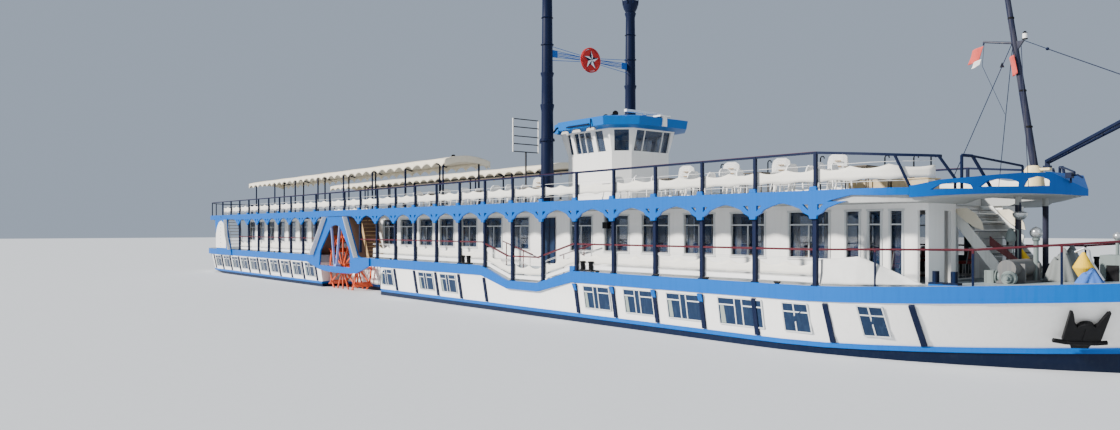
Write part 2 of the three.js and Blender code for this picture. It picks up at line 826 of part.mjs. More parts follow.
// Blue plate with a pointed panel near the stern, and the flange on its fore edge.
function sternScreen() {
  const outline = [
    [-13700, 735],
    [-13790, 938],
    [-14150, 1500],
    [-14240, 2100],
    [-15700, 2100],
    [-15560, 1500],
    [-15500, 735],
  ];
  const { outer, panelOut, flangeOut, panelHalf, panelLow, panelHigh } = screen;
  const face = profile(outline, -outer, -plate.inner);
  const mid = -14950;
  const panel = [
    [mid + panelHalf, panelLow],
    [mid + panelHalf * 0.98, 1500],
    [mid + panelHalf * 0.8, 1760],
    [mid + panelHalf * 0.45, 1950],
    [mid, panelHigh],
    [mid - panelHalf * 0.45, 1950],
    [mid - panelHalf * 0.8, 1760],
    [mid - panelHalf, 1500],
    [mid - panelHalf, panelLow],
  ];
  const flange = [
    [-13790, 940],
    [-14150, 1500],
    [-14240, 2060],
    [-14254, 2060],
    [-14164, 1500],
    [-13804, 940],
  ];
  return joined([
    face,
    profile(panel, -outer - panelOut, -outer + 9),
    profile(flange, -outer - flangeOut, -outer + 9),
  ]);
}

// Columns of the lower gallery from one to another, with the handrail between x0 and x1.
function galleryRails(first, last, x0, x1) {
  const pieces = [];
  const y0 = -column.outer + 12;
  const y1 = -column.inner - 12;
  const top = profile(dippedBand(x0, x1, handrail.high - handrail.deep, handrail.high), y0, y1);
  pieces.push(top.subtract(box(-5990, -3010, -clear * 6, 0, 0, farOff)));
  for (let k = first; k <= last; k += 1) {
    const x = k * bay;
    const onWall = { "-6": 990, "-3": 1080 }[k];
    if (x > -6000 && x < -3000) continue;
    const low = onWall ?? deckZ - dip.depth * beltDrop(x) + gap;
    const wide = column.wide / 2;
    pieces.push(box(x - wide, x + wide, -column.outer, -column.inner, low, sun.low - gap));
  }
  return pieces;
}

// Handrail along the belt's edge from the last column to the bow.
function bowRail() {
  const { inset, radius, posts } = bowRailing;
  const points = posts.map(([x, z]) => [x, inset - halfAt(beltEdge, x), z]);
  const pieces = [];
  for (let i = 1; i < points.length; i += 1) pieces.push(bar(points[i - 1], points[i], radius, 6));
  for (const [x, y, z] of points.slice(1)) pieces.push(bar([x, y, deckZ], [x, y, z], radius, 6));
  return pieces;
}

// Rail posts, top rail and middle rail along one side of the sun deck.
function sunRails() {
  const { near, far } = railIn;
  const top = deckBand(-far, -near, (x) => railTop(x) - sunRail.deep, railTop, -farOff, 12490);
  const pieces = [top];
  for (let k = sunRail.first; k <= sunRail.last; k += 1) {
    pieces.push(box(k * bay - 22, k * bay + 22, -2282, -2238, sunRail.low, sunRail.high - 5));
  }
  const sternward = halfOutline(grown(sun, -(near + far) / 2));
  for (const [x, y] of [0, 2, 4, 6].map((i) => sternward[i])) {
    const off = Math.min(-y, -24);
    pieces.push(bar([x, off, sunRail.low], [x, off, sunRail.high - 5], 20, 8));
  }
  for (const { top: x, foot, bend } of rakedPosts) {
    const knee = onRail(foot, bend, postIn);
    pieces.push(bar(onRail(x, railTop(x) - 12), knee, 18, 8));
    pieces.push(bar(knee, onRail(foot, sun.low, postIn), 18, 8));
  }
  return joined(pieces).subtract(box(-farOff, farOff, -farOff, farOff, 0, sunRail.low));
}

// Height of the top rail at x; it falls a little towards the crown.
function railTop(x) {
  return heightAt([[11000, sunRail.high], [12069, 2668], [12490, 2644]], x);
}

// Point on the middle line of the rails at x, on the starboard side.
function onRail(x, z, inset = (railIn.near + railIn.far) / 2) {
  return [x, inset - halfAt(sun, x), z];
}

function rails() {
  const { first, gateAft, gateFore, last, outer, inner, wide } = column;
  const [x0, x1] = [gateAft * bay + wide / 2 + gap, gateFore * bay - wide / 2 - gap];
  const beam = box(-6990, -1990, -outer + 12, -inner - 12, sun.low - 40, sun.low - gap);
  const galleries = {
    gallery_rail_aft: joined([beam, ...galleryRails(first, gateAft, first * bay, gateAft * bay)]),
    gallery_rail_fore: joined([...galleryRails(gateFore, last, gateFore * bay, last * bay), ...bowRail()]),
    gate_rail: profile(
      dippedBand(x0, x1, handrail.high - handrail.deep, handrail.high),
      -outer + 12,
      -inner - 12,
    ),
  };
  for (const [name, rail] of Object.entries(galleries)) {
    const body = seated(rail);
    addPiece(name + "_starboard", body, paint.navy);
    addPiece(name + "_port", mirrored(body), paint.navy);
  }
  const upper = sunRails();
  addPiece("sun_rail_starboard", upper, paint.navy);
  addPiece("sun_rail_port", mirrored(upper), paint.navy);

  const y = -column.inner + gap;
  const forward = profile(dippedBand(-2300, 10950, cloth.deckLow, cloth.deckHigh), y, y + cloth.thick);
  const stern = box(-12950, -6600, y, y + cloth.thick, cloth.deckLow, cloth.deckHigh);
  for (const [name, body] of Object.entries({ gallery_cloth_fore: forward, gallery_cloth_aft: stern })) {
    addPiece(name + "_starboard", body, paint.cream);
    addPiece(name + "_port", mirrored(body), paint.cream);
  }
  const { low, high, aft, fore, inset } = sunCloth;
  const upperCloth = deckBand(-inset - cloth.thick, -inset, () => low, () => high, aft, fore);
  addPiece("sun_cloth_starboard", upperCloth, paint.cream);
  addPiece("sun_cloth_port", mirrored(upperCloth), paint.cream);
}

// Height of the canopy's top at a share of its width.
function canopyAt(t) {
  return awning.edge + (awning.crownHigh - awning.edge) * (1 - (2 * t - 1) ** 2);
}

// Line across the canopy from its outer edge inwards, dropped and drawn in by inset.
function canopyArch(inset, steps) {
  const { outer, inner } = awning;
  const points = [];
  for (let i = 0; i <= steps; i += 1) {
    const t = i / steps;
    const y = -outer + inset + (outer - inner - 2 * inset) * t;
    points.push([y, canopyAt(t) - inset]);
  }
  return points;
}

// Canopy with a crowned top and hanging valances on its two long sides.
function awningCloth() {
  const { outer, inner, thick, valance } = awning;
  const outline = [
    ...canopyArch(0, awning.facets),
    [-inner, valance],
    [-inner - thick, valance],
    ...canopyArch(thick, awning.facets).reverse(),
    [-outer + thick, valance],
    [-outer, valance],
  ];
  return section(outline, awning.aft, awning.fore);
}

// Posts in two rows, each pair under a bow that carries the cloth, and a purlin over the outer row.
function awningFrame() {
  const { outer, inner, postWide, thick, bowDeep } = awning;
  const inset = thick + gap;
  const half = postWide / 2;
  const under = canopyArch(inset + bowDeep, awning.facets).reverse();
  const outline = [...canopyArch(inset, awning.facets), ...under];
  const rows = [-outer + inset + half, -awning.rowInner];
  const topAt = (y) => canopyAt((y + outer) / (outer - inner)) - inset - bowDeep / 2;
  const lastPost = awning.postFirst + (awning.posts - 1) * awning.postSpacing;
  const pieces = [];
  for (let i = 0; i < awning.posts; i += 1) {
    const x = awning.postFirst + i * awning.postSpacing;
    pieces.push(section(outline, x - 12, x + 12));
    for (const y of rows) pieces.push(box(x - half, x + half, y - half, y + half, sun.high + gap, topAt(y)));
  }
  const [y] = rows;
  pieces.push(box(awning.postFirst, lastPost, y - 12, y + 12, topAt(y) - 28, topAt(y)));
  return joined(pieces);
}

function awnings() {
  addPiece("awning_starboard", awningCloth(), paint.cream);
  addPiece("awning_port", mirrored(awningCloth()), paint.cream);
  addPiece("awning_frame_starboard", awningFrame(), paint.navy);
  addPiece("awning_frame_port", mirrored(awningFrame()), paint.navy);
}

function funnelRadius(z) {
  const t = (z - sun.high) / (funnel.top - sun.high);
  return funnel.footRadius + (funnel.topRadius - funnel.footRadius) * t;
}

function funnels() {
  const { x, y, rings, ringOut } = funnel;
  const seat = rings[0];
  const foot = turned(
    [
      [0, sun.high + gap],
      [funnel.footRadius, sun.high + gap],
      [funnelRadius(seat - 40), seat - 40],
      [funnelRadius(seat) + 32, seat - 34],
      [funnelRadius(seat) + 32, seat - gap],
      [0, seat - gap],
    ],
    x,
    -y,
  );
  const pinX = x - funnel.hingeBack;
  const cheeks = [-1, 1].map((way) => {
    const mid = -y + way * 34;
    return box(pinX - 26, x - 120, mid - 9, mid + 9, seat - 70, seat + 16);
  });
  const pinZ = seat - 3;
  const pinLine = (radius, reach) => bar([pinX, -y - reach, pinZ], [pinX, -y + reach, pinZ], radius, 12);
  const lug = box(x - 180, x - 100, -y - 60, -y + 60, seat - gap, seat + 40);
  const lower = joined([foot, ...cheeks]).subtract(pinLine(12 + running, 90)).subtract(lug);
  addPiece("funnel_foot_starboard", lower, paint.navy);
  addPiece("funnel_foot_port", mirrored(lower), paint.navy);

  const outline = [[0, rings[0]]];
  for (const z of rings) {
    const r = funnelRadius(z);
    outline.push([r + ringOut, z], [r + ringOut, z + 22], [r, z + 30]);
    if (z < rings[rings.length - 1]) outline.push([funnelRadius(z + 600), Math.min(z + 600, 6600)]);
  }
  const { crownRadius, top } = funnel;
  outline.push([crownRadius * 0.85, top - 150], [crownRadius, top], [0, top]);
  const upper = turned(
    outline.filter(([, z], i) => i === 0 || z >= outline[i - 1][1]),
    x,
    -y,
  );
  const lugHalf = 24.5;
  const tongue = box(pinX, x - 110, -y - lugHalf, -y + lugHalf, seat, seat + 17);
  const eye = pinLine(20, lugHalf);
  const stack = joined([upper, tongue, eye, pinLine(12, 43)]);
  addPiece("funnel_starboard", stack, paint.navy);
  addPiece("funnel_port", mirrored(stack), paint.navy);

  const disc = section(circle(star.disc, 24, 0, star.z), x - star.thick / 2, x + star.thick / 2);
  const tips = [];
  for (let i = 0; i < 10; i += 1) {
    const r = i % 2 ? star.radius * 0.4 : star.radius;
    const turn = Math.PI / 2 + (Math.PI * i) / 5;
    tips.push([r * Math.cos(turn), star.z + r * Math.sin(turn)]);
  }
  const points = section(tips, x - 20, x + 20);
  const rodEnd = y - funnelRadius(star.z - 90) - gap;
  const rods = [-30, 30].map((dz) => bar([x, -rodEnd, star.z + dz], [x, rodEnd, star.z + dz], 9, 6));
  const arm = box(x - 8, x + 8, rodEnd - 160, rodEnd, star.z - 75, star.z + 75);
  addPiece("star_spreader", joined([disc, points, ...rods, bothSides(arm)]), paint.red);
}

function housePlan(grow, inset = 0) {
  const { aft, fore, half, foreHalf, chamfer } = house;
  const c = grow - inset;
  return [
    [aft - c, -half - c],
    [fore - chamfer + c * 0.4, -half - c],
    [fore + c, -foreHalf - c * 0.4],
    [fore + c, foreHalf + c * 0.4],
    [fore - chamfer + c * 0.4, half + c],
    [aft - c, half + c],
  ];
}

// Ring or plug between two plan outlines at two heights.
function frustum(lowPlan, lowZ, highPlan, highZ) {
  const n = lowPlan.length;
  const positions = [];
  for (const [plan, z] of [
    [lowPlan, lowZ],
    [highPlan, highZ],
  ]) {
    for (const [x, y] of plan) positions.push(x, y, z);
  }
  const faces = [];
  for (let i = 0; i < n; i += 1) {
    const j = (i + 1) % n;
    faces.push(i, j, n + j, i, n + j, n + i);
  }
  for (let i = 1; i < n - 1; i += 1) {
    faces.push(0, i + 1, i, n, n + i, n + i + 1);
  }
  const g = new THREE.BufferGeometry();
  g.setAttribute("position", new THREE.BufferAttribute(new Float32Array(positions), 3));
  g.setIndex(faces);
  return solid(g);
}

function wheelhouse() {
  const { low, sill, head, lean, thick, roofLow, roofHigh, roofOut } = house;
  const { aft, fore, half, chamfer, frontPane } = house;
  const lower = frustum(housePlan(0), low, housePlan(0), sill);
  const band = frustum(housePlan(0), sill, housePlan(lean), head);
  const inner = frustum(housePlan(0, thick), low - 9, housePlan(0, thick), sill);
  const innerBand = frustum(housePlan(0, thick), sill, housePlan(lean, thick), head + 9);
  const doorSide = houseDoor.wide / 2 + 6;
  const door = box(aft - 30, aft + thick + 30, -doorSide, doorSide, houseDoor.low - 6, houseDoor.high + 6);
  const midZ = (sill + head) / 2;
  const tall = (head - sill) / 2 - 28;
  const cuts = [];
  for (const [x0, x1] of [[4110, 4230], [4330, 4870], [4990, 5230]]) {
    cuts.push(box(x0, x1, -1200, 1200, midZ - tall, midZ + tall));
  }
  const [paneLow, paneHigh] = [midZ - tall, midZ + tall];
  for (const y of [-260, 260]) cuts.push(box(aft - 200, aft + 200, y - 220, y + 220, paneLow, paneHigh));
  cuts.push(box(fore - 100, fore + 400, -frontPane / 2, frontPane / 2, paneLow, paneHigh));
  const atCorner = (along, out) => {
    return [fore - chamfer + (along + out) * Math.SQRT1_2, -half + (along - out) * Math.SQRT1_2];
  };
  const end = chamfer * Math.SQRT2 - 50;
  const cornerPane = [atCorner(50, -150), atCorner(end, -150), atCorner(end, 300), atCorner(50, 300)];
  cuts.push(bothSides(slab(cornerPane, paneLow, paneHigh)));
  const hingeY = houseDoor.wide / 2 + 3;
  const barrels = (grow) => hingeBarrels(aft + 2, hingeY, houseDoor.low, houseDoor.high, grow);
  const walls = lower.add(band).subtract(inner.add(innerBand)).subtract(door).subtract(barrels(running));
  addPiece("wheelhouse_walls", joined([walls]).subtract(joined(cuts)), paint.white);

  const glassBody = (inset) => frustum(housePlan(0, inset), sill, housePlan(lean, inset), head + 9);
  const glass = glassBody(thick + 2 * gap).subtract(glassBody(thick + 8));
  const kept = box(aft - bay, aft + 4 * bay, -2 * bay, 2 * bay, sill + 30, head - 1);
  addPiece("wheelhouse_glass", glass.intersect(kept), paint.glass);

  const out = lean + roofOut;
  const eave = frustum(housePlan(lean + 40), head + gap, housePlan(out - 30), roofLow + 20);
  const top = frustum(housePlan(out - 30), roofLow + 20, housePlan(out), roofHigh - 30);
  const lid = frustum(housePlan(out), roofHigh - 30, housePlan(out - 130), roofHigh);
  const clearFunnels = box(3000, 4150, -4000, 4000, 3000, 4400);
  const post = turned(
    [
      [0, roofHigh - 10],
      [70, roofHigh - 10],
      [55, radar.z - radar.tall - 5 - gap],
      [0, radar.z - radar.tall - 5 - gap],
    ],
    radar.x,
    0,
    14,
  );
  const roof = joined([eave, top, lid, post]).subtract(
    clearFunnels.subtract(box(3700, 4150, -930, 930, 3000, 4400)),
  );
  addPiece("wheelhouse_roof", roof, paint.skyBlue);

  const leaf = box(
    aft + 4,
    aft + 4 + houseDoor.thick,
    -houseDoor.wide / 2,
    houseDoor.wide / 2,
    houseDoor.low,
    houseDoor.high,
  );
  addPiece("wheelhouse_door", leaf.add(barrels(0)), paint.white);

  const { x, z, deep, long, tall: thickness } = radar;
  const arm = box(x - deep / 2, x + deep / 2, -long / 2, long / 2, z - thickness / 2, z + thickness / 2);
  const neckLow = z - thickness - 5;
  const neck = turned([[0, neckLow], [40, neckLow], [40, z], [0, z]], x, 0, 12);
  addPiece("radar_scanner", arm.add(neck), paint.white);
}

// Board with slats on a post, aft of the funnels.
function slatBoard() {
  const x = 1425;
  const pieces = [];
  for (const y of [-400, 376]) pieces.push(box(x - 12, x + 12, y, y + 24, 3582, 4399));
  for (const z of [3582, 3770, 3960, 4180, 4375]) pieces.push(box(x - 9, x + 9, -400, 400, z, z + 24));
  pieces.push(box(x - 16, x + 16, -16, 16, sun.high + gap, 3600));
  addPiece("slat_board", joined(pieces), paint.white);
}

// Crest round the fore end of the sun deck with three openings a side.
function foreCrown() {
  const topLine = [
    [crown.start, 2235],
    [12404, 2313],
    [12640, 2346],
    [12820, 2373],
    [12991, 2407],
    [13187, 2433],
    [13400, 2430],
    [13490, 2350],
  ];
  const lowLine = [
    [crown.start, 2107],
    [12404, 2125],
    [12749, 2151],
    [13057, 2167],
    [13314, 2160],
    [13490, 2140],
  ];
  const band = deckBand(
    0.5,
    crown.out,
    (x) => heightAt(lowLine, x),
    (x) => heightAt(topLine, x),
    crown.start + gap,
    farOff,
  );
  const openings = crownOpenings.map((points) => profile(points, -farOff, 0));
  const side = band.subtract(joined(openings));
  const { low, high, thick } = crown.front;
  const raked = [high, low, [low[0] - thick, low[1]], [high[0] - thick, high[1]]];
  const beyond = low[0] + clear;
  const over = high[1] + clear;
  const ahead = [high, [high[0], over], [beyond, over], [beyond, low[1]], low];
  const outline = { ...grown({ ...sun, stops: sunStops }, crown.out), z: 0 };
  const inside = lofted([
    { ...outline, rise: () => low[1] - bay },
    { ...outline, rise: () => high[1] + bay },
  ]);
  const plate = profile(raked, -bay, bay).intersect(inside);
  addPiece("fore_crown", bothSides(side).subtract(profile(ahead, -bay, bay)).add(plate), paint.blue);
}

// Steep stairs from the sun deck down to the foredeck.
function stairs(xTop, xFoot, y, zTop, zFoot, wide, { steps, deep, edge }) {
  const pieces = [];
  for (const side of [y - wide / 2, y + wide / 2 - edge]) {
    const slope = [
      [xTop - deep, zTop],
      [xFoot - deep, zFoot],
      [xFoot + deep, zFoot],
      [xTop + deep, zTop],
    ];
    pieces.push(profile(slope, side, side + edge));
  }
  for (let i = 1; i < steps; i += 1) {
    const t = i / steps;
    const x = xTop + (xFoot - xTop) * t;
    const z = zTop + (zFoot - zTop) * t;
    const half = wide / 2 - edge / 2;
    pieces.push(box(x - deep + 8, x + deep - 8, y - half, y + half, z - 12, z));
  }
  return joined(pieces);
}

function foredeck() {
  const deckAt = (x) => deckZ + sheerAt(x);
  const { top, foot, half, steps, boardHigh } = foreStairs;
  const run = stairs(top, foot, 0, sun.low - gap, deckAt(foot) - 20, 2 * half, { steps, deep: 85, edge: 30 });
  const board = profile(
    [
      [top - 40, sun.low - 160],
      [top + 480, sun.low - 700],
      [top + 520, sun.low - 700 + boardHigh],
      [top + 60, sun.low - 10],
    ],
    half - 30,
    half,
  );
  addPiece("fore_stairs", seated(run.add(board)), paint.white);

  const { x, y, long, drum } = windlass;
  const winchZ = deckAt(x);
  const barrel = bar([x, y - long / 2, winchZ + 190], [x, y + long / 2, winchZ + 190], drum, 16);
  const frames = [-240, 200].map((side) => {
    return box(x - 150, x + 150, y + side, y + side + 40, winchZ - 12, winchZ + 250);
  });
  const base = box(x - 170, x + 170, y - 280, y + 280, winchZ - 60, winchZ + 30);
  addPiece("anchor_windlass", seated(joined([barrel, base, ...frames])), paint.iron);

}

function foreRail() {
  const { aft, knee, rake, fore, radius, thin } = foreRailing;
  const at = (x, z) => onRail(x, z, postIn);
  const top = [at(aft, 2637), at(knee, 2628), at(fore, 2511)];
  const pieces = [
    bar(top[0], top[1], radius, 8),
    bar(top[1], top[2], thin, 8),
    bar(top[0], at(aft, sun.low), radius, 8),
    bar(top[1], at(rake, sun.high - 20), radius, 8),
    bar(top[2], at(fore, sun.low), thin, 8),
  ];
  const rail = joined(pieces).subtract(box(-farOff, farOff, -farOff, farOff, 0, sunRail.low));
  addPiece("fore_rail_starboard", rail, paint.navy);
  addPiece("fore_rail_port", mirrored(rail), paint.navy);
}

function mastAndBoom() {
  const { x, footZ, topX, topZ, radius, topRadius, gaffZ } = mast;
  const cone = [
    [0, sun.high + gap],
    [150, sun.high + gap],
    [120, 2500],
    [70, footZ - 10],
    [0, footZ - 10],
  ];
  const step = turned(cone, x - 20, 0, 18);
  const spar = bar([x, 0, footZ - 60], [topX, 0, topZ], radius, 12, topRadius);
  const gaffX = x + ((topX - x) * (gaffZ - footZ)) / (topZ - footZ);
  const gaff = bar([gaffX, 0, gaffZ], [gaffX - 420, 0, gaffZ + 92], 15, 8);
  const bracket = profile(
    [
      [gaffX, gaffZ - 110],
      [gaffX + 40, gaffZ - 90],
      [gaffX + 118, gaffZ + 22],
      [gaffX, gaffZ + 22],
    ],
    -20,
    20,
  );
  const shelf = box(x - 20, boom.x + 40, -46, 46, boom.z - 112, boom.z - 80 - gap);
  addPiece("mast", joined([step, spar, gaff, bracket, shelf]), paint.navy);

  const { pitch, long, radius: tube, spread, heel, pinRadius, cheek } = boom;
  const base = box(boom.x - 40, boom.x + 40, -46, 46, boom.z - 80, boom.z - 50);
  const ear = box(boom.x - 26, boom.x + 26, -cheek, cheek, boom.z - 55, boom.z + 26);
  const eye = profile(circle(pinRadius + 0.6, 12, boom.x, boom.z), -cheek - 9, cheek + 9);
  addPiece("boom_swivel", base.add(ear).subtract(eye), paint.navy);

  const rise = (pitch * Math.PI) / 180;
  const at = (t) => [
    boom.x + t * long * Math.cos(rise),
    heel + (spread - heel) * t,
    boom.z + t * long * Math.sin(rise),
  ];
  const [endX, endY, endZ] = at(1);
  const pieces = [bar([boom.x, -heel, boom.z], [boom.x, heel, boom.z], pinRadius, 12)];
  for (const way of [-1, 1]) {
    pieces.push(bar([boom.x, way * heel, boom.z], [endX, way * endY, endZ], tube, 8));
  }
  for (const t of [0.09, 0.39, 0.69, 0.985]) {
    const [x, y, z] = at(t);
    pieces.push(bar([x, -y, z], [x, y, z], 16, 6));
  }
  addPiece("boom", joined(pieces), paint.navy);
}

function rudders() {
  const { x, y, top, low, fore, aft, thick } = rudder;
  const blade = box(aft, fore, -y - thick / 2, -y + thick / 2, low, top - 40);
  const stock = bar([x, -y, low], [x, -y, top - gap], 32, 12);
  addPiece("rudder_starboard", blade.add(stock), paint.hullDark);
  addPiece("rudder_port", mirrored(blade.add(stock)), paint.hullDark);
}

hull();
wheels();
saloonWalls();
sunDeck();
rails();
awnings();
funnels();
wheelhouse();
slatBoard();
foreCrown();
foredeck();
foreRail();
mastAndBoom();
rudders();

export default ship;
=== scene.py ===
import json
import math

import bmesh
import bpy
from mathutils import Matrix, Vector
from mathutils.bvhtree import BVHTree


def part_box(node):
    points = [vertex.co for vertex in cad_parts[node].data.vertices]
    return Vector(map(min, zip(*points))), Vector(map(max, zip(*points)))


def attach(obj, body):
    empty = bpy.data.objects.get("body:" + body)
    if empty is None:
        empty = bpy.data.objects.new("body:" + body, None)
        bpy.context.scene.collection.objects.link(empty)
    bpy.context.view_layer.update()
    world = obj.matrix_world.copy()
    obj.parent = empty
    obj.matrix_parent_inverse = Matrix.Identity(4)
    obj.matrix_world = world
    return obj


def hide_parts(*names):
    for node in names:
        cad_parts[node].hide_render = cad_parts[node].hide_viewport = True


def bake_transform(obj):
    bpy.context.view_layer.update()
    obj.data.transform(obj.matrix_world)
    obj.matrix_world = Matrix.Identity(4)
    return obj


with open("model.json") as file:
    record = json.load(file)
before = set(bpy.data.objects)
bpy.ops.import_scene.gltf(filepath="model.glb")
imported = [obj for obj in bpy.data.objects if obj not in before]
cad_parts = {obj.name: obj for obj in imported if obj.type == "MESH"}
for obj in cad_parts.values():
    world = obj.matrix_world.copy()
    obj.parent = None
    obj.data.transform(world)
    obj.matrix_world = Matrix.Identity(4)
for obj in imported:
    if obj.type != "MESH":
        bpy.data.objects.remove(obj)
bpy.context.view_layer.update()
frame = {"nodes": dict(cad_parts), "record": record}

# Paddle steamer at half size. Metres: +X to the bow, +Y to port, +Z up, waterline at zero.
nodes = frame["nodes"]
sides = {"starboard": -1, "port": 1}
bay = 1.0  # spacing of columns, ribs and rail posts
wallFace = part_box("saloon_walls")[0][1]  # outer face of the saloon's starboard wall
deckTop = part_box("saloon_walls")[0][2]
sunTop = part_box("awning_frame_starboard")[0][2]
sheer = {"start": 10.8, "end": 15.85, "rise": 0.265, "power": 1.3}
dip = {"stops": (2.9, 3.85, 4.85, 5.9), "depth": 0.275}  # boarding dip of the belt and rail
print("frame loaded:", len(nodes), "nodes")


# shader groups shared by several finishes
def newGroup(name, inputs):
    # colours and numbers in; colour, roughness and height out
    group = bpy.data.node_groups.new(name, "ShaderNodeTree")
    for socketName, value in inputs.items():
        kind = "NodeSocketColor" if isinstance(value, tuple) else "NodeSocketFloat"
        group.interface.new_socket(socketName, in_out="INPUT", socket_type=kind).default_value = value
    for socketName, kind in (("Color", "Color"), ("Roughness", "Float"), ("Height", "Float")):
        group.interface.new_socket(socketName, in_out="OUTPUT", socket_type="NodeSocket" + kind)
    return group, group.nodes.new("NodeGroupInput"), group.nodes.new("NodeGroupOutput")


def addNode(tree, kind, **values):
    node = tree.nodes.new(kind)
    for key, value in values.items():
        setattr(node, key, value)
    return node


def feed(tree, socket, value):
    # links a socket, or sets a plain value
    if isinstance(value, bpy.types.NodeSocket):
        tree.links.new(value, socket)
    else:
        socket.default_value = value


def maths(tree, operation, first, second=0.0, clamp=False):
    node = addNode(tree, "ShaderNodeMath", operation=operation, use_clamp=clamp)
    feed(tree, node.inputs[0], first)
    feed(tree, node.inputs[1], second)
    return node.outputs[0]


def mixColor(tree, factor, first, second):
    mix = addNode(tree, "ShaderNodeMix", data_type="RGBA")
    for socket, value in zip((mix.inputs[0], mix.inputs[6], mix.inputs[7]), (factor, first, second)):
        feed(tree, socket, value)
    return mix.outputs[2]


def stretched(tree, vector, scale):
    mapping = addNode(tree, "ShaderNodeMapping")
    mapping.inputs["Scale"].default_value = scale
    tree.links.new(vector, mapping.inputs["Vector"])
    return mapping.outputs[0]


def noise(tree, vector, scale, detail=2.0, rough=0.5):
    node = addNode(tree, "ShaderNodeTexNoise")
    for key, value in (("Scale", scale), ("Detail", detail), ("Roughness", rough)):
        node.inputs[key].default_value = value
    tree.links.new(vector, node.inputs["Vector"])
    return node.outputs["Fac"]


def ramp(tree, value, low, high):
    node = addNode(tree, "ShaderNodeMapRange")
    node.inputs["From Min"].default_value = low
    node.inputs["From Max"].default_value = high
    tree.links.new(value, node.inputs["Value"])
    return node.outputs["Result"]


def buildWeatheredPaint():
    # soft mottling, vertical runs of dirt and a fine grain for paint
    group, given, result = newGroup(
        "weatheredPaint",
        {"Paint": (0.8, 0.8, 0.8, 1), "Dirt": (0.2, 0.17, 0.13, 1), "Amount": 0.15, "Gloss": 0.4, "Size": 1.0},
    )
    links = group.links
    scaled = addNode(group, "ShaderNodeVectorMath", operation="SCALE")
    links.new(addNode(group, "ShaderNodeTexCoord").outputs["Object"], scaled.inputs[0])
    links.new(given.outputs["Size"], scaled.inputs["Scale"])
    place = scaled.outputs[0]
    mottle = noise(group, place, 2.2, 5)
    runs = ramp(group, noise(group, stretched(group, place, (14, 14, 0.9)), 1.6, 4), 0.48, 0.8)
    chips = ramp(group, noise(group, place, 34, 3, 0.7), 0.68, 0.74)
    both = maths(group, "ADD", maths(group, "MULTIPLY", mottle, 0.5), runs)
    both = maths(group, "ADD", both, maths(group, "MULTIPLY", chips, 0.8))
    dirty = maths(group, "MULTIPLY", both, given.outputs["Amount"], clamp=True)
    links.new(mixColor(group, dirty, given.outputs["Paint"], given.outputs["Dirt"]), result.inputs["Color"])
    dull = maths(group, "ADD", maths(group, "MULTIPLY", mottle, 0.18), given.outputs["Gloss"], clamp=True)
    links.new(dull, result.inputs["Roughness"])
    links.new(noise(group, place, 60), result.inputs["Height"])
    return group


def buildWovenCloth():
    # close weave, faint creases and soft stains for canvas
    group, given, result = newGroup(
        "wovenCloth",
        {"Thread": (0.8, 0.75, 0.6, 1), "Stain": (0.5, 0.42, 0.28, 1), "Amount": 0.2, "Crease": 1.0},
    )
    links = group.links
    place = addNode(group, "ShaderNodeTexCoord").outputs["Object"]
    waves = []
    for direction in "ZX":
        wave = addNode(group, "ShaderNodeTexWave", wave_type="BANDS", bands_direction=direction)
        wave.inputs["Scale"].default_value = 90
        links.new(place, wave.inputs["Vector"])
        waves.append(wave.outputs["Fac"])
    threads = maths(group, "MAXIMUM", *waves)
    stains = ramp(group, noise(group, place, 1.7, 6, 0.6), 0.42, 0.75)
    creases = noise(group, stretched(group, place, (7, 7, 2.2)), 1.5, 3, 0.55)
    dirty = maths(group, "MULTIPLY", stains, given.outputs["Amount"], clamp=True)
    shade = mixColor(group, dirty, given.outputs["Thread"], given.outputs["Stain"])
    grain = mixColor(group, maths(group, "MULTIPLY", threads, 0.12), shade, (0.35, 0.3, 0.2, 1))
    links.new(grain, result.inputs["Color"])
    links.new(maths(group, "ADD", maths(group, "MULTIPLY", stains, 0.08), 0.8), result.inputs["Roughness"])
    folds = maths(group, "MULTIPLY", creases, given.outputs["Crease"])
    links.new(maths(group, "ADD", maths(group, "MULTIPLY", threads, 0.05), folds), result.inputs["Height"])
    return group


weatheredPaint = buildWeatheredPaint()
wovenCloth = buildWovenCloth()


# finishes
def newMaterial(name):
    material = bpy.data.materials.new(name)
    material.use_nodes = True
    return material, material.node_tree, material.node_tree.nodes["Principled BSDF"]


def zoneMask(tree, tests):
    # 1 where every test (measure, low, high) holds; off is the distance to the nearest bay line
    coordinates = addNode(tree, "ShaderNodeTexCoord")
    axes = addNode(tree, "ShaderNodeSeparateXYZ")
    tree.links.new(coordinates.outputs["Object"], axes.inputs[0])
    mask = None
    for measure, low, high in tests:
        if measure == "side":
            value = maths(tree, "ABSOLUTE", axes.outputs["Y"])
        elif measure == "off":
            value = maths(tree, "PINGPONG", axes.outputs["X"], bay / 2)
        elif measure == "up":
            facing = addNode(tree, "ShaderNodeSeparateXYZ")
            tree.links.new(coordinates.outputs["Normal"], facing.inputs[0])
            value = facing.outputs["Z"]
        else:
            value = axes.outputs[measure.upper()]
        for operation, edge in (("GREATER_THAN", low), ("LESS_THAN", high)):
            if edge is None:
                continue
            step = maths(tree, operation, value, edge)
            mask = step if mask is None else maths(tree, "MULTIPLY", mask, step)
    return mask


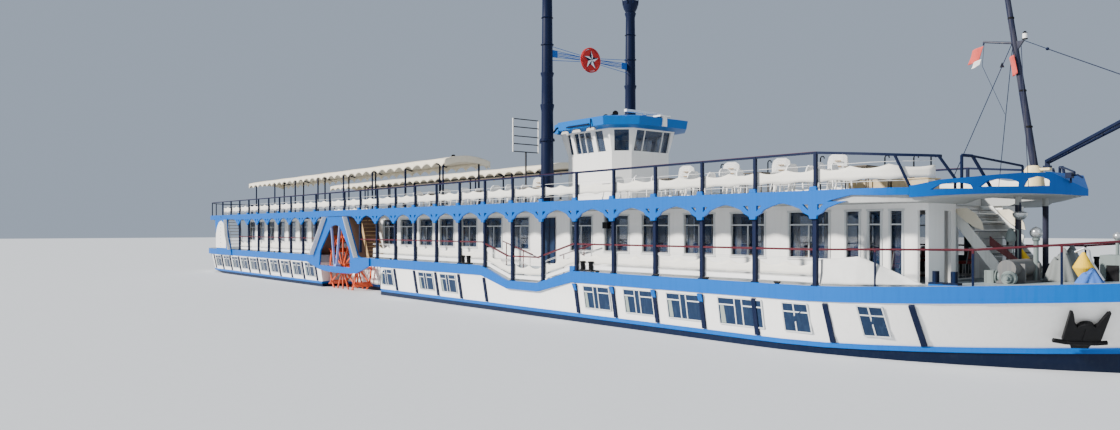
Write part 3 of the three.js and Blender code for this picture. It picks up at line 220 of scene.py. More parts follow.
def coated(name, coat, color, zones, values, bump):
    # material from a shared group, whose first input is its colour; zones lay others over it
    material, tree, shader = newMaterial(name)
    group = addNode(tree, "ShaderNodeGroup", node_tree=coat)
    base = (*color, 1)
    for zoneColor, tests in zones:
        base = mixColor(tree, zoneMask(tree, tests), base, (*zoneColor, 1))
    feed(tree, group.inputs[0], base)
    for key, value in values.items():
        group.inputs[key].default_value = value
    relief = addNode(tree, "ShaderNodeBump")
    relief.inputs["Strength"].default_value, relief.inputs["Distance"].default_value = bump
    tree.links.new(group.outputs["Color"], shader.inputs["Base Color"])
    tree.links.new(group.outputs["Roughness"], shader.inputs["Roughness"])
    tree.links.new(group.outputs["Height"], relief.inputs["Height"])
    tree.links.new(relief.outputs[0], shader.inputs["Normal"])
    return material, shader


def paintFinish(name, color, dirt=(0.25, 0.22, 0.18), amount=0.2, gloss=0.35, size=1.0, metallic=0.0, zones=()):
    values = {"Dirt": (*dirt, 1), "Amount": amount, "Gloss": gloss, "Size": size}
    material, shader = coated(name, weatheredPaint, color, zones, values, (0.02, 0.01))
    shader.inputs["Metallic"].default_value = metallic
    shader.inputs["Specular IOR Level"].default_value = 0.5 if metallic else 0.12
    return material


def clothFinish(name, color, stain=(0.5, 0.42, 0.28), amount=0.2, crease=1.0):
    values = {"Stain": (*stain, 1), "Amount": amount, "Crease": crease}
    material, shader = coated(name, wovenCloth, color, (), values, (0.25, 0.02))
    shader.inputs["Sheen Weight"].default_value = 0.15
    return material


def glassFinish(name, color, alpha):
    # tinted pane with faint smears; the rooms behind show through it
    material, tree, shader = newMaterial(name)
    place = addNode(tree, "ShaderNodeTexCoord").outputs["Object"]
    smear = noise(tree, place, 3.5, 4)
    tint = tuple(min(1.0, part * 2.2) for part in color)
    tree.links.new(mixColor(tree, smear, (*color, 1), (*tint, 1)), shader.inputs["Base Color"])
    dull = maths(tree, "ADD", maths(tree, "MULTIPLY", smear, 0.06), 0.02)
    tree.links.new(dull, shader.inputs["Roughness"])
    shader.inputs["Alpha"].default_value = alpha
    shader.inputs["Coat Weight"].default_value = 0.4
    return material


navy = (0.004, 0.009, 0.034)
shipBlue = (0.0, 0.105, 0.42)
darkRed = (0.085, 0.014, 0.02)
panelWhite = (0.84, 0.83, 0.79)
blueWear = {"dirt": (0.0, 0.05, 0.22), "gloss": 0.3}
navyWear = {"dirt": (0.02, 0.024, 0.04), "amount": 0.25, "gloss": 0.3}
finishes = {
    "white": paintFinish("whitePaint", (0.89, 0.88, 0.85), amount=0.08),
    "blue": paintFinish("bluePaint", shipBlue, amount=0.22, **blueWear),
    "sky_blue": paintFinish("roofBluePaint", (0.002, 0.13, 0.46), dirt=(0.03, 0.12, 0.28), amount=0.3),
    "navy": paintFinish("navyPaint", navy, **navyWear),
    "hull_dark": paintFinish("bootTop", (0.003, 0.009, 0.032), dirt=(0.02, 0.03, 0.05), amount=0.3),
    "deck": paintFinish(
        "deckPaint", (0.42, 0.43, 0.42), amount=0.35, gloss=0.6, zones=[(navy, [("z", None, 2.03)])]
    ),
    "wheel_red": paintFinish(
        "wheelPaint", (0.66, 0.095, 0.030), dirt=(0.16, 0.07, 0.05), amount=0.5, gloss=0.45
    ),
    "star_red": paintFinish(
        "starPaint", (0.50, 0.02, 0.02), amount=0.15, zones=[(shipBlue, [("side", 0.30, None)])]
    ),
    "canvas": clothFinish("creamCanvas", (0.80, 0.73, 0.58)),
    "wood": paintFinish("stairWood", (0.50, 0.33, 0.16), dirt=(0.2, 0.12, 0.06), amount=0.4, gloss=0.5),
    "glass": glassFinish("saloonPane", (0.012, 0.026, 0.06), 0.36),
    "black": paintFinish("blackPaint", (0.004, 0.004, 0.005), dirt=(0.02, 0.02, 0.02), amount=0.3),
    "iron": paintFinish("ironPaint", (0.12, 0.125, 0.13), amount=0.4, gloss=0.5),
}
# nodes that carry a second colour or painted shade, told by where it is: (name, colour, wear, zones)
zoned = {
    "main_deck": (
        "mainDeckPaint",
        shipBlue,
        {"amount": 0.22, **blueWear},
        [
            ((0.36, 0.40, 0.42), [("side", None, 2.25), ("z", 0.6, None)]),
            ((0.30, 0.19, 0.10), [("up", 0.7, None), ("side", None, 1.58), ("x", -14.2, None)]),
        ],
    ),
    "foredeck": (
        "foredeckPaint",
        shipBlue,
        {"amount": 0.22, **blueWear},
        [
            ((0.30, 0.36, 0.38), [("up", 0.7, None)]),
            ((0.004, 0.004, 0.006), [("x", 12.3, 12.75), ("side", 1.68, 1.88), ("z", 1.02, None)]),
        ],
    ),
    "arcade": ("arcadePaint", shipBlue, blueWear, [(panelWhite, [("side", 2.3465, None)])]),
    "paddle_box": (
        "paddleBoxPaint",
        shipBlue,
        blueWear,
        [
            (panelWhite, [("side", 2.3515, None)]),
            # walls inboard of the face plate: brownish wall colour darkened into painted shade for the shadow
            # inside the box
            ((0.20, 0.115, 0.07), [("side", None, 2.308)]),
            ((0.22, 0.30, 0.62), [("side", 2.2, 2.3445), ("x", -4.83, -4.11), ("z", 0.6, 2.04)]),
        ],
    ),
    "gallery_rail": (
        "galleryRailPaint",
        navy,
        navyWear,
        [
            (darkRed, [("off", 0.0306, None), ("z", None, 1.6), ("x", None, 11.03)]),
            (darkRed, [("x", 11.05, 12.95), ("z", 1.415, 1.7)]),
            (darkRed, [("x", 12.95, 13.8), ("z", 1.445, 1.7)]),
            (darkRed, [("x", 13.8, None), ("z", 1.51, 1.7)]),
        ],
    ),
    "gate_rail": ("gateRailPaint", darkRed, navyWear, ()),
    "sun_rail": ("sunRailPaint", navy, navyWear, [(darkRed, [("z", 2.7595, None), ("x", None, 11.02)])]),
    "mast": ("mastPaint", navy, {"gloss": 0.3}, [((0.80, 0.66, 0.38), [("z", None, 2.57)])]),
    "fore_stairs": ("foreStairPaint", (0.80, 0.80, 0.76), {}, ()),
    "slat_board": (
        "slatBoardPaint",
        panelWhite,
        {"amount": 0.15},
        [(navy, [("z", None, 3.575)]), ((0.03, 0.03, 0.035), [("y", -0.37, 0.37)])],
    ),
}
nodeFinishes = {
    prefix: paintFinish(name, color, zones=zones, **wear)
    for prefix, (name, color, wear, zones) in zoned.items()
}
for entry in frame["record"]["subparts"]:
    node = nodes[entry["node"]]
    finish = finishes[entry["material_slot"]]
    for prefix, special in nodeFinishes.items():
        if entry["node"].startswith(prefix):
            finish = special
    node.data.materials.clear()
    node.data.materials.append(finish)
    node.data.polygons.foreach_set("use_smooth", [True] * len(node.data.polygons))
    node.modifiers.new("weldSeams", "WELD").merge_threshold = 0.0001
    node.modifiers.new("keepEdges", "EDGE_SPLIT").split_angle = math.radians(32)


# mesh helpers
def newPlans(count):
    return [bmesh.new() for _ in range(count)]


def vertsOf(parts):
    return [part for part in parts if isinstance(part, bmesh.types.BMVert)]


def addBlock(plan, low, high):
    middle = (Vector(low) + Vector(high)) / 2
    size = Vector(high) - Vector(low)
    place = Matrix.Translation(middle) @ Matrix.Diagonal((*size, 1))
    return bmesh.ops.create_cube(plan, size=1, matrix=place)["verts"]


def addRod(plan, start, end, radius, sides=8, tip=None):
    start, end = Vector(start), Vector(end)
    along = end - start
    turn = along.to_track_quat("Z", "Y").to_matrix().to_4x4()
    bmesh.ops.create_cone(
        plan,
        cap_ends=True,
        segments=sides,
        radius1=radius,
        radius2=radius if tip is None else tip,
        depth=along.length,
        matrix=Matrix.Translation((start + end) / 2) @ turn,
    )


def addPost(plan, x, y, low, high, radius, sides=8, tip=None):
    addRod(plan, (x, y, low), (x, y, high), radius, sides, tip)


def addPath(plan, points, radius, sides=5):
    # thin straight lengths from point to point
    for start, end in zip(points, points[1:]):
        addRod(plan, start, end, radius, sides)


def addBeam(plan, start, end, wide, deep, facing=(0, 1, 0)):
    # square bar between two points; deep is measured along facing
    start, end = Vector(start), Vector(end)
    length = (end - start).length
    along = (end - start).normalized()
    outward = Vector(facing)
    outward = (outward - along * outward.dot(along)).normalized()
    turn = Matrix((along.cross(outward), outward, along)).transposed().to_4x4()
    place = Matrix.Translation((start + end) / 2) @ turn @ Matrix.Diagonal((wide, deep, length, 1))
    bmesh.ops.create_cube(plan, size=1, matrix=place)


def addBall(plan, centre, radius, detail=2):
    bmesh.ops.create_icosphere(plan, subdivisions=detail, radius=radius, matrix=Matrix.Translation(centre))


def thicken(plan, face, offset):
    moved = vertsOf(bmesh.ops.extrude_face_region(plan, geom=[face])["geom"])
    bmesh.ops.translate(plan, vec=offset, verts=moved)
    return moved


def addPlate(plan, outline, thick, place):
    # flat outline (a, b), given a thickness and placed by a matrix
    verts = [plan.verts.new((a, b, 0)) for a, b in outline]
    moved = thicken(plan, plan.faces.new(verts), (0, 0, thick))
    bmesh.ops.transform(plan, matrix=place, verts=verts + moved)


def addPanel(plan, corners, thick):
    # panel between its corners, given a thickness along its normal
    face = plan.faces.new([plan.verts.new(corner) for corner in corners])
    face.normal_update()
    thicken(plan, face, face.normal * thick)


def addTurned(plan, pairs, centre, sides=16):
    # round body on a vertical axis from (radius, height) pairs
    verts = [plan.verts.new((radius, 0, height)) for radius, height in pairs]
    edges = [plan.edges.new(pair) for pair in zip(verts, verts[1:])]
    made = bmesh.ops.spin(
        plan, geom=verts + edges, axis=(0, 0, 1), cent=(0, 0, 0), angle=2 * math.pi, steps=sides, use_merge=True
    )
    every = {v for part in made["geom_last"] for v in (part.verts if hasattr(part, "verts") else [part])}
    linked = set(verts) | {v for v in every if v.is_valid}
    grown = set(linked)
    while linked:
        linked = {e.other_vert(v) for v in linked for e in v.link_edges} - grown
        grown |= linked
    bmesh.ops.translate(plan, vec=centre, verts=list(grown))
    bmesh.ops.remove_doubles(plan, verts=list(grown), dist=0.00005)


facingSide = Matrix(((1, 0, 0, 0), (0, 0, 1, 0), (0, 1, 0, 0), (0, 0, 0, 1)))  # outline (x, z), thick along y
facingAhead = Matrix(((0, 0, 1, 0), (1, 0, 0, 0), (0, 1, 0, 0), (0, 0, 0, 1)))  # outline (y, z), thick along x


def finishPiece(name, plan, slot, finish=None, body="hull", both=False, smooth=False, bevel=0.0, closed=True):
    # slot names the finish, unless one is given; both repeats the piece on the port side
    if both:
        made = bmesh.ops.duplicate(plan, geom=plan.verts[:] + plan.edges[:] + plan.faces[:])["geom"]
        bmesh.ops.scale(plan, vec=(1, -1, 1), verts=vertsOf(made))
    if bevel:
        bmesh.ops.bevel(
            plan,
            geom=plan.edges[:],
            offset=bevel,
            offset_type="OFFSET",
            segments=1,
            profile=0.5,
            affect="EDGES",
            material=-1,
        )
    if closed:
        bmesh.ops.recalc_face_normals(plan, faces=plan.faces[:])
    mesh = bpy.data.meshes.new(name)
    plan.to_mesh(mesh)
    plan.free()
    mesh.materials.append(finish or finishes[slot])
    piece = bpy.data.objects.new(name, mesh)
    bpy.context.scene.collection.objects.link(piece)
    if smooth:
        mesh.polygons.foreach_set("use_smooth", [True] * len(mesh.polygons))
        piece.modifiers.new("keepEdges", "EDGE_SPLIT").split_angle = math.radians(40)
    if body:
        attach(piece, body)
    return piece


def addSheet(plan, columns, rows, place):
    # grid whose points go where place(u, v) says, u and v from 0 to 1
    for vert in bmesh.ops.create_grid(plan, x_segments=columns, y_segments=rows, size=0.5)["verts"]:
        vert.co = place(vert.co.x + 0.5, vert.co.y + 0.5)


def finishSheet(name, plan, finish, flat, held, restsOn, nodeName=None, thick=0.004):
    # flat is (width, length), or a function that gives them from the area; it is worked out and then not used
    area = sum(face.calc_area() for face in plan.faces)
    flat = flat(area) if callable(flat) else flat
    piece = finishPiece(name, plan, "canvas", finish, smooth=True, closed=False)
    solid = piece.modifiers.new("clothThickness", "SOLIDIFY")
    solid.thickness = thick
    solid.offset = 0
    if nodeName:
        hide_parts(nodeName)


def hangSheet(name, columns, rows, place, *facts, **more):
    plan = bmesh.new()
    addSheet(plan, columns, rows, place)
    finishSheet(name, plan, *facts, **more)


# where the hull's side, the dipping belt and the rails are
def sheerAt(x):
    share = max(0.0, (x - sheer["start"]) / (sheer["end"] - sheer["start"]))
    return sheer["rise"] * share ** sheer["power"]


def dipAt(x):
    start, low, lowEnd, end = dip["stops"]
    if x <= start or x >= end:
        return 0.0
    if x < low:
        return dip["depth"] * (x - start) / (low - start)
    if x > lowEnd:
        return dip["depth"] * (end - x) / (end - lowEnd)
    return dip["depth"]


topsides = nodes["topsides"].data
sideSurface = BVHTree.FromPolygons(
    [vert.co.copy() for vert in topsides.vertices], [tuple(face.vertices) for face in topsides.polygons]
)


def hullRay(x, z):
    # point and normal of the starboard topsides
    return sideSurface.ray_cast(Vector((x, -6, z)), Vector((0, 1, 0)))[:2]


def onHull(x, z, out=0.0):
    spot, normal = hullRay(x, z)
    return spot + normal * out


def railPoint(x, z, inset=0.03):
    # point under the starboard rail of the sun deck, which bends in towards the bow
    half = 2.29 - inset
    if x > 11.7:
        half = 0.012 + (half - 0.012) * (1 - ((x - 11.7) / (1.79 - inset)) ** 2)
    return Vector((x, -half, z))


# ribs, brackets and windows on the hull's side
hullSide = {
    "ribs": [*range(-18, -5), *range(-2, 4), *range(6, 11), 11.15, 12.25],
    "bracketed": [6, 7, 8, 9],
    "ribWide": 0.075,
    "ribDeep": 0.06,
    "ribFoot": 0.175,
    "ribHead": 0.712,
    "bracket": {"low": 0.59, "high": 0.722, "off": 0.028, "deep": 0.03, "half": 0.042},
    "windows": [(6.22, 6.9), (7.27, 7.95), (8.27, 9.01), (9.33, 10.13), (10.48, 10.88), (11.58, 11.9)]
    + [(-1.8, -1.15), (0.2, 0.85), (1.2, 1.85)]
    + [(k + 0.2, k + 0.85) for k in range(-17, -6)],
    "windowLow": 0.285,
    "windowHigh": 0.69,
    "bar": 0.018,
    "mullions": (0.39, 0.56),
    "transom": 0.74,
    "blind": [(0.04, 0.04), (0.15, 0.04), (0.13, 0.7), (0.04, 0.7)],
}


def makeHullSide():
    ribPlan, bracketPlan, framePlan, panePlan, blindPlan = newPlans(5)
    bracket = hullSide["bracket"]
    for x in hullSide["ribs"]:
        rise = sheerAt(x)
        foot = onHull(x, hullSide["ribFoot"] + rise)
        head = onHull(x, hullSide["ribHead"] + rise - dipAt(x))
        addBeam(ribPlan, foot, head, hullSide["ribWide"], hullSide["ribDeep"], hullRay(x, 0.4 + rise)[1])
        if x not in hullSide["bracketed"]:
            continue
        outward = hullRay(x, 0.7 + rise)[1]
        along = Vector((-outward.y, outward.x, 0)) * bracket["half"]
        low, high = [onHull(x, bracket[level] + rise, bracket["off"]) for level in ("low", "high")]
        corners = (low, high, high + outward * bracket["deep"])
        corners = [bracketPlan.verts.new(corner - along) for corner in corners]
        thicken(bracketPlan, bracketPlan.faces.new(corners), along * 2)
    finishPiece("hullRibs", ribPlan, "navy", both=True, bevel=0.003)
    finishPiece("ribBrackets", bracketPlan, "blue", both=True)

    low, high = hullSide["windowLow"], hullSide["windowHigh"]
    left, right = hullSide["mullions"]
    share = hullSide["transom"]
    for x0, x1 in hullSide["windows"]:
        rise = sheerAt((x0 + x1) / 2)
        outward = hullRay((x0 + x1) / 2, 0.5 + rise)[1]
        corner = [onHull(x, z + rise, 0.008) for x, z in ((x0, low), (x1, low), (x1, high), (x0, high))]

        def spot(u, v, out=0.0):
            below = corner[0].lerp(corner[1], u)
            return below.lerp(corner[3].lerp(corner[2], u), v) + outward * out

        addPanel(panePlan, [spot(u, v, -0.03) for u, v in ((0, 0), (1, 0), (1, 1), (0, 1))], 0.036)
        edges = [((0, 0), (1, 0)), ((0, 1), (1, 1)), ((0, 0), (0, 1)), ((1, 0), (1, 1))]
        if x1 - x0 > 0.5:
            edges += [((left, 0), (left, 1)), ((right, 0), (right, 1))]
            edges += [((0, share), (left, share)), ((right, share), (1, share))]
            addPanel(blindPlan, [spot(u, v, 0.0055) for u, v in hullSide["blind"]], 0.002)
        else:
            edges += [((0.45, 0), (0.45, 1)), ((0, 0.7), (1, 0.7))]
        for start, end in edges:
            start, end = spot(*start, 0.004), spot(*end, 0.004)
            addBeam(framePlan, start, end, hullSide["bar"], hullSide["bar"], outward)
    finishPiece("hullWindowFrames", framePlan, "white", windowWhite, both=True)
    finishPiece("hullWindowPanes", panePlan, "glass", paneDark, both=True)
    finishPiece("hullWindowBlinds", blindPlan, "canvas", blindGreen, both=True)


windowWhite = paintFinish("windowWhite", (0.62, 0.64, 0.64), amount=0.15, gloss=0.3)
paneDark = paintFinish("cabinPane", (0.010, 0.022, 0.055), dirt=(0.03, 0.06, 0.11), amount=0.5, gloss=0.04)
blindGreen = paintFinish("cabinBlind", (0.26, 0.32, 0.29), amount=0.3, gloss=0.4)
makeHullSide()
print("hull side dressed")


# weather cloths of the two rails, with their wires; heights are over the water amidships
galleryCloth = {"low": 1.06, "peak": 1.31, "middlePeak": 1.277, "droop": 0.09}
sunCloth = {"low": 2.335, "peak": 2.546, "middlePeak": 2.546, "droop": 0.052}
railCloth = {
    "lengths": [("aft", -12.95, -6.6), ("fore", -2.3, 10.95)],
    "out": 2.2255,
    "lens": 0.03,
    "strip": (0.985, 1.052),
    "sunEnds": (-14.94, 12.43),
    "wire": 0.0035,
    "galleryWires": (1.326, 1.304, 1.056, 1.09),
    "sunWires": (2.57, 2.326),
    "fairleads": (9.1, 8.05, 6.6, -1.2, -9.4, 10.4),
}


def clothHeight(cloth, x, v):
    # tied at each post and halfway, sagging between
    half = (x * 2) % 1
    nearPost = abs((x % 1) - 0.5) * 2
    top = cloth["middlePeak"] + (cloth["peak"] - cloth["middlePeak"]) * nearPost
    top -= cloth["droop"] * math.sin(math.pi * half) ** 0.8
    low = cloth["low"] + railCloth["lens"] * math.sin(math.pi * half)
    return low + (top - low) * v


def makeRailCloths():
    def hang(name, cloth, x0, x1, place, rail, node):
        flat = (cloth["peak"] - cloth["low"], (x1 - x0) * 1.01)
        hangSheet(name, int((x1 - x0) / bay * 16), 3, place, clothWhite, flat, "stretched", rail, node)

    for side, sign in sides.items():
        for name, x0, x1 in railCloth["lengths"]:

            def place(u, v):
                x = x0 + (x1 - x0) * u
                fold = 0.0025 * math.sin(x * 21) * math.sin(v * 3)
                return Vector((x, sign * (railCloth["out"] + fold), clothHeight(galleryCloth, x, v) - dipAt(x)))

            end = f"{name}_{side}"
            rail = f"gallery_rail_{end}"
            hang(f"galleryCloth_{end}", galleryCloth, x0, x1, place, rail, f"gallery_cloth_{end}")
        x0, x1 = railCloth["sunEnds"]

        def placeSun(u, v):
            x = x0 + (x1 - x0) * u
            spot = railPoint(x, clothHeight(sunCloth, x, v), 0.066 + 0.002 * math.sin(x * 17))
            return Vector((spot.x, -spot.y * sign, spot.z))

        hang(f"sunCloth_{side}", sunCloth, x0, x1, placeSun, f"sun_rail_{side}", f"sun_cloth_{side}")

    wirePlan, stripPlan, fairPlan = newPlans(3)
    low, high = railCloth["strip"]
    for _, x0, x1 in railCloth["lengths"]:
        stops = sorted({x0, x1, *[stop for stop in dip["stops"] if x0 < stop < x1]})
        for z in railCloth["galleryWires"]:
            addPath(wirePlan, [(x, -2.233, z - dipAt(x + 0.0001)) for x in stops], railCloth["wire"])
        for start, end in zip(stops, stops[1:]):
            corners = [(start, low), (end, low), (end, high), (start, high)]
            addPanel(stripPlan, [(x, -2.226, z - dipAt(x)) for x, z in corners], 0.004)
    x0, x1 = railCloth["sunEnds"]
    stations = [x0] + [float(k) for k in range(-14, 12)] + [11.4, 11.8, 12.1, x1]
    for z in railCloth["sunWires"]:
        addPath(wirePlan, [railPoint(x, z, 0.055) for x in stations], railCloth["wire"])
    for x in railCloth["fairleads"]:
        addRod(fairPlan, (x - 0.05, -2.29, 0.965), (x + 0.05, -2.29, 0.965), 0.016, 8)
        addBlock(fairPlan, (x - 0.03, -2.302, 0.94), (x + 0.03, -2.278, 0.962))
    finishPiece("railWires", wirePlan, "white", wireWhite, both=True)
    finishPiece("toeStrips", stripPlan, "white", both=True)
    finishPiece("fairleads", fairPlan, "black", both=True)


clothWhite = clothFinish("whiteCanvas", (0.82, 0.80, 0.73), stain=(0.55, 0.52, 0.44), amount=0.25)
wireWhite = paintFinish("wireCoat", (0.70, 0.70, 0.68), amount=0.1)
makeRailCloths()
print("weather cloths hung")


# awnings, each one curved sheet with cut valances
awning = {
    "aft": -12.28,
    "fore": 1.2,
    "outer": 2.16,
    "inner": 0.903,
    "edge": 3.325,
    "crown": 3.435,
    "valance": 3.15,
    "endDeep": 0.16,
    "scallop": 0.1,
    "pitch": 0.46,
    "bowFrom": -11.6,
    "bowStep": 1.81,
    "bows": 8,
    "sag": 0.012,
    "knob": [(0, 0), (0.05, 0), (0.06, 0.03), (0.035, 0.07), (0, 0.075)],
}


def makeAwnings():
    outer, inner, edge = awning["outer"], awning["inner"], awning["edge"]
    span = outer - inner
    camber = awning["crown"] - edge
    drop = edge - awning["valance"]
    girth = 2 * drop + span + 8 / 3 * camber**2 / span
    length = awning["fore"] - awning["aft"]

    def bend(y):
        # 0 at the long edges, 1 along the crown
        return 1 - (2 * (outer - y) / span - 1) ** 2

    for side, sign in sides.items():

        def place(u, v):
            x = awning["aft"] + length * u
            cut = awning["scallop"] * abs(math.sin(math.pi * (x - awning["aft"]) / awning["pitch"])) ** 0.8
            along = v * 20
            if along <= 3:
                t, y = along / 3, outer
            elif along >= 17:
                t, y = (20 - along) / 3, inner
            else:
                t, y = 1, outer - span * (along - 3) / 14
            sag = awning["sag"] * math.sin(math.pi * (x - awning["bowFrom"]) / awning["bowStep"]) ** 2
            z = edge - (1 - t) * (drop - cut) + (camber - sag) * bend(y)
            wave = 0.004 * math.sin(x * 13) * (1 - t)
            return Vector((x, sign * (y + wave), z))

        canvas = finishes["canvas"]
        rests = f"awning_frame_{side}"
        flat = (girth + 0.02, length + 0.01)
        node = f"awning_{side}"
        hangSheet(f"awningSheet_{side}", 512, 20, place, canvas, flat, "stretched", rests, node, 0.005)
        for end, x in (("fore", awning["fore"] + 0.006), ("aft", awning["aft"] - 0.006)):

            def placeEnd(u, v):
                y = outer - span * u
                z = edge + camber * bend(y) - awning["endDeep"] * (1 - v)
                return Vector((x + 0.006 * math.sin(u * 19) * (1 - v), sign * y, z))

            flat = (span * 1.03, awning["endDeep"] + 0.01)
            hangSheet(f"awningEnd_{end}_{side}", 40, 4, placeEnd, canvas, flat, "hung", rests)
    seamPlan, knobPlan = newPlans(2)
    for step in range(awning["bows"]):
        x = awning["bowFrom"] + awning["bowStep"] * step
        stations = [outer - span * share / 10 for share in range(11)]
        points = [(x, -y, edge + camber * bend(y) + 0.004) for y in stations]
        for start, end in zip(points, points[1:]):
            addBeam(seamPlan, start, end, 0.03, 0.003, (0, 0, 1))
    addTurned(knobPlan, awning["knob"], (0.55, -1.53, awning["crown"]), 14)
    finishPiece("awningKnob", knobPlan, "black", smooth=True)
    finishPiece("awningSeams", seamPlan, "canvas", seamCloth, both=True)


seamCloth = clothFinish("seamCanvas", (0.66, 0.60, 0.46), amount=0.2)
makeAwnings()
print("awnings stretched")


# saloon windows, curtains and chairs
saloonSide = {
    "windows": [(k + 0.02, k + 0.68) for k in (*range(-14, 4), *range(5, 10))],
    "lounge": [(10.106, 10.789, 1.285), (11.043, 11.26, 1.285), (11.384, 11.577, 0.99), (11.697, 11.88, 0.99)],
    "sill": 1.285,
    "head": 1.96,
    "transom": 1.775,
    "bar": 0.024,
    "proud": 0.012,
    "curtain": 0.13,
    "curtainTop": 2.0,
    "doorPanes": (4.21, 4.55),
    "doorBars": (1.03, 1.75, 1.93),
    "doorFace": 1.6,
    "floor": 0.962,
    "chairs": [5.15, 5.6, 6.2, 6.65, 7.2, 7.65, 8.2, 8.6, 9.15, 9.6, 10.2, 10.6, 11.1, 11.5],
    "chairRows": (-1.28, -0.95),
    "tables": [5.38, 6.42, 7.42, 8.4, 9.38, 10.4],
    "tableTop": 1.3,
}
saloonChair = {"leg": 0.1, "tube": 0.009, "seat": 0.11, "seatLow": 0.21, "seatHigh": 0.25, "backHigh": 0.46}


def addWindow(plan, x0, x1, low):
    # painted surround with a bar across
    bar, high, across = saloonSide["bar"], saloonSide["head"], saloonSide["transom"]
    near, far = wallFace - saloonSide["proud"], wallFace + 0.012
    addBlock(plan, (x0 - bar, near, low - bar), (x1 + bar, far, low + 0.004))
    addBlock(plan, (x0 - bar, near, high - 0.004), (x1 + bar, far, high + bar))
    for x in (x0, x1):
        addBlock(plan, (x - bar / 2 - 0.002, near, low), (x + bar / 2 + 0.002, far, high))
    addBlock(plan, (x0, near + 0.008, across - 0.01), (x1, far, across + 0.01))
    if x1 - x0 > 0.5:
        middle = x0 + (x1 - x0) * 0.5
        addBlock(plan, (middle - 0.009, near + 0.008, low), (middle + 0.009, far, across))


def addChair(framePlan, seatPlan, x, y, facing):
    # pale frame with a padded seat and back; facing is -1 or 1 along x
    z = saloonSide["floor"]
    leg, tube, seat = saloonChair["leg"], saloonChair["tube"], saloonChair["seat"]
    low, high = z + saloonChair["seatLow"], z + saloonChair["backHigh"]
    for dx in (-leg, leg):
        for dy in (-leg, leg):
            addRod(framePlan, (x + dx, y + dy, z), (x + dx * 0.9, y + dy, low + 0.01), tube, 6)
    back = x - facing * seat
    top = back - facing * 0.04
    for dy in (-0.105, 0.105):
        addRod(framePlan, (back, y + dy, low), (top, y + dy, high), tube, 6)
    addRod(framePlan, (top, y - 0.115, high), (top, y + 0.115, high), tube + 0.002, 6)
    addBlock(seatPlan, (x - seat, y - seat, low), (x + seat, y + seat, z + saloonChair["seatHigh"]))
    pad = back - facing * 0.012
    addBlock(seatPlan, (pad - 0.012, y - 0.095, low + 0.07), (pad + 0.012, y + 0.095, high - 0.01))


def makeSaloonSide():
    framePlan, chairPlan, padPlan, tablePlan = newPlans(4)
    windows = [(x0, x1, saloonSide["sill"]) for x0, x1 in saloonSide["windows"]] + saloonSide["lounge"]
    for x0, x1, low in windows:
        addWindow(framePlan, x0, x1, low)
    finishPiece("saloonFrames", framePlan, "white", windowWhite, both=True)

    drawn = saloonSide["curtain"]
    tall = saloonSide["curtainTop"] - saloonSide["sill"]
    for side, sign in sides.items():
        plan = bmesh.new()
        for x0, x1, low in windows[:-3]:
            for start in (x0 + 0.01, x1 - drawn - 0.01):

                def place(u, v):
                    depth = 0.014 * math.sin(u * math.pi * 8) * (1 - 0.3 * v)
                    waist = 1 - 0.25 * math.sin(math.pi * min(1.0, v * 1.3)) * (0.5 - abs(u - 0.5))
                    z = low - 0.05 + (saloonSide["curtainTop"] - low) * v
                    return Vector((start + drawn * u * waist, -sign * (wallFace + 0.085 + depth), z))

                addSheet(plan, 24, 4, place)
        name = f"saloonCurtains_{side}"
        flat = lambda area: (area / tall * 1.02, tall)
        finishSheet(name, plan, curtainCloth, flat, "gathered", "saloon_walls", thick=0.002)

    for index, x in enumerate(saloonSide["chairs"]):
        for y in saloonSide["chairRows"]:
            addChair(chairPlan, padPlan, x, y, 1 if index % 2 == 0 else -1)
    top = saloonSide["tableTop"]
    for x in saloonSide["tables"]:
        addBlock(tablePlan, (x - 0.1, -1.45, top), (x + 0.1, -0.85, top + 0.018))
        addPost(tablePlan, x, -1.15, saloonSide["floor"], top, 0.02)
    finishPiece("saloonChairFrames", chairPlan, "white", both=True)
    pads = finishPiece("saloonChairPads", padPlan, "star_red", seatRed, both=True, bevel=0.008)
    finishPiece("saloonTables", tablePlan, "wood", both=True)


def makeDoorPanes():
    x0, x1 = saloonSide["doorPanes"]
    low, _, high = saloonSide["doorBars"]
    near, far = saloonSide["doorFace"], saloonSide["doorFace"] + 0.006
    for side, sign in sides.items():
        panePlan, barPlan = newPlans(2)
        addBlock(panePlan, (x0, sign * (near - 0.002), low), (x1, sign * far, high))
        for x in (x0, (x0 + x1) / 2, x1):
            reach = sign * (far + 0.006)
            addBlock(barPlan, (x - 0.012, sign * near, low - 0.01), (x + 0.012, reach, high + 0.01))
        for z in saloonSide["doorBars"]:
            addBlock(barPlan, (x0, sign * near, z - 0.01), (x1, sign * (far + 0.006), z + 0.01))
        body = f"saloon_door_{side}"
        finishPiece(f"saloonDoorPanes_{side}", panePlan, "glass", paneDark, body)
        finishPiece(f"saloonDoorBars_{side}", barPlan, "navy", body=body)


curtainCloth = clothFinish("curtainCloth", (0.62, 0.60, 0.52), stain=(0.5, 0.45, 0.36), amount=0.2)
seatRed = clothFinish("seatFabric", (0.42, 0.035, 0.03), stain=(0.2, 0.02, 0.02), amount=0.3)
makeSaloonSide()
makeDoorPanes()
print("saloon windows dressed")


# galleries: tabs and feet of the columns, handrails down to the boarding place, bollards
gallery = {
    "columns": [*range(-13, -5), *range(-3, 12)],
    "handrails": [[(2.9, 1.445), (3.95, 1.185)], [(4.85, 1.185), (5.9, 1.43)]],
    "bollards": (2.12, 2.35, 6.17, 6.39),
    "bollardFeet": (2.235, 6.28),
    "bollard": [(0, 0), (0.05, 0), (0.043, 0.02), (0.043, 0.13), (0.055, 0.14), (0.055, 0.16), (0, 0.165)],
}


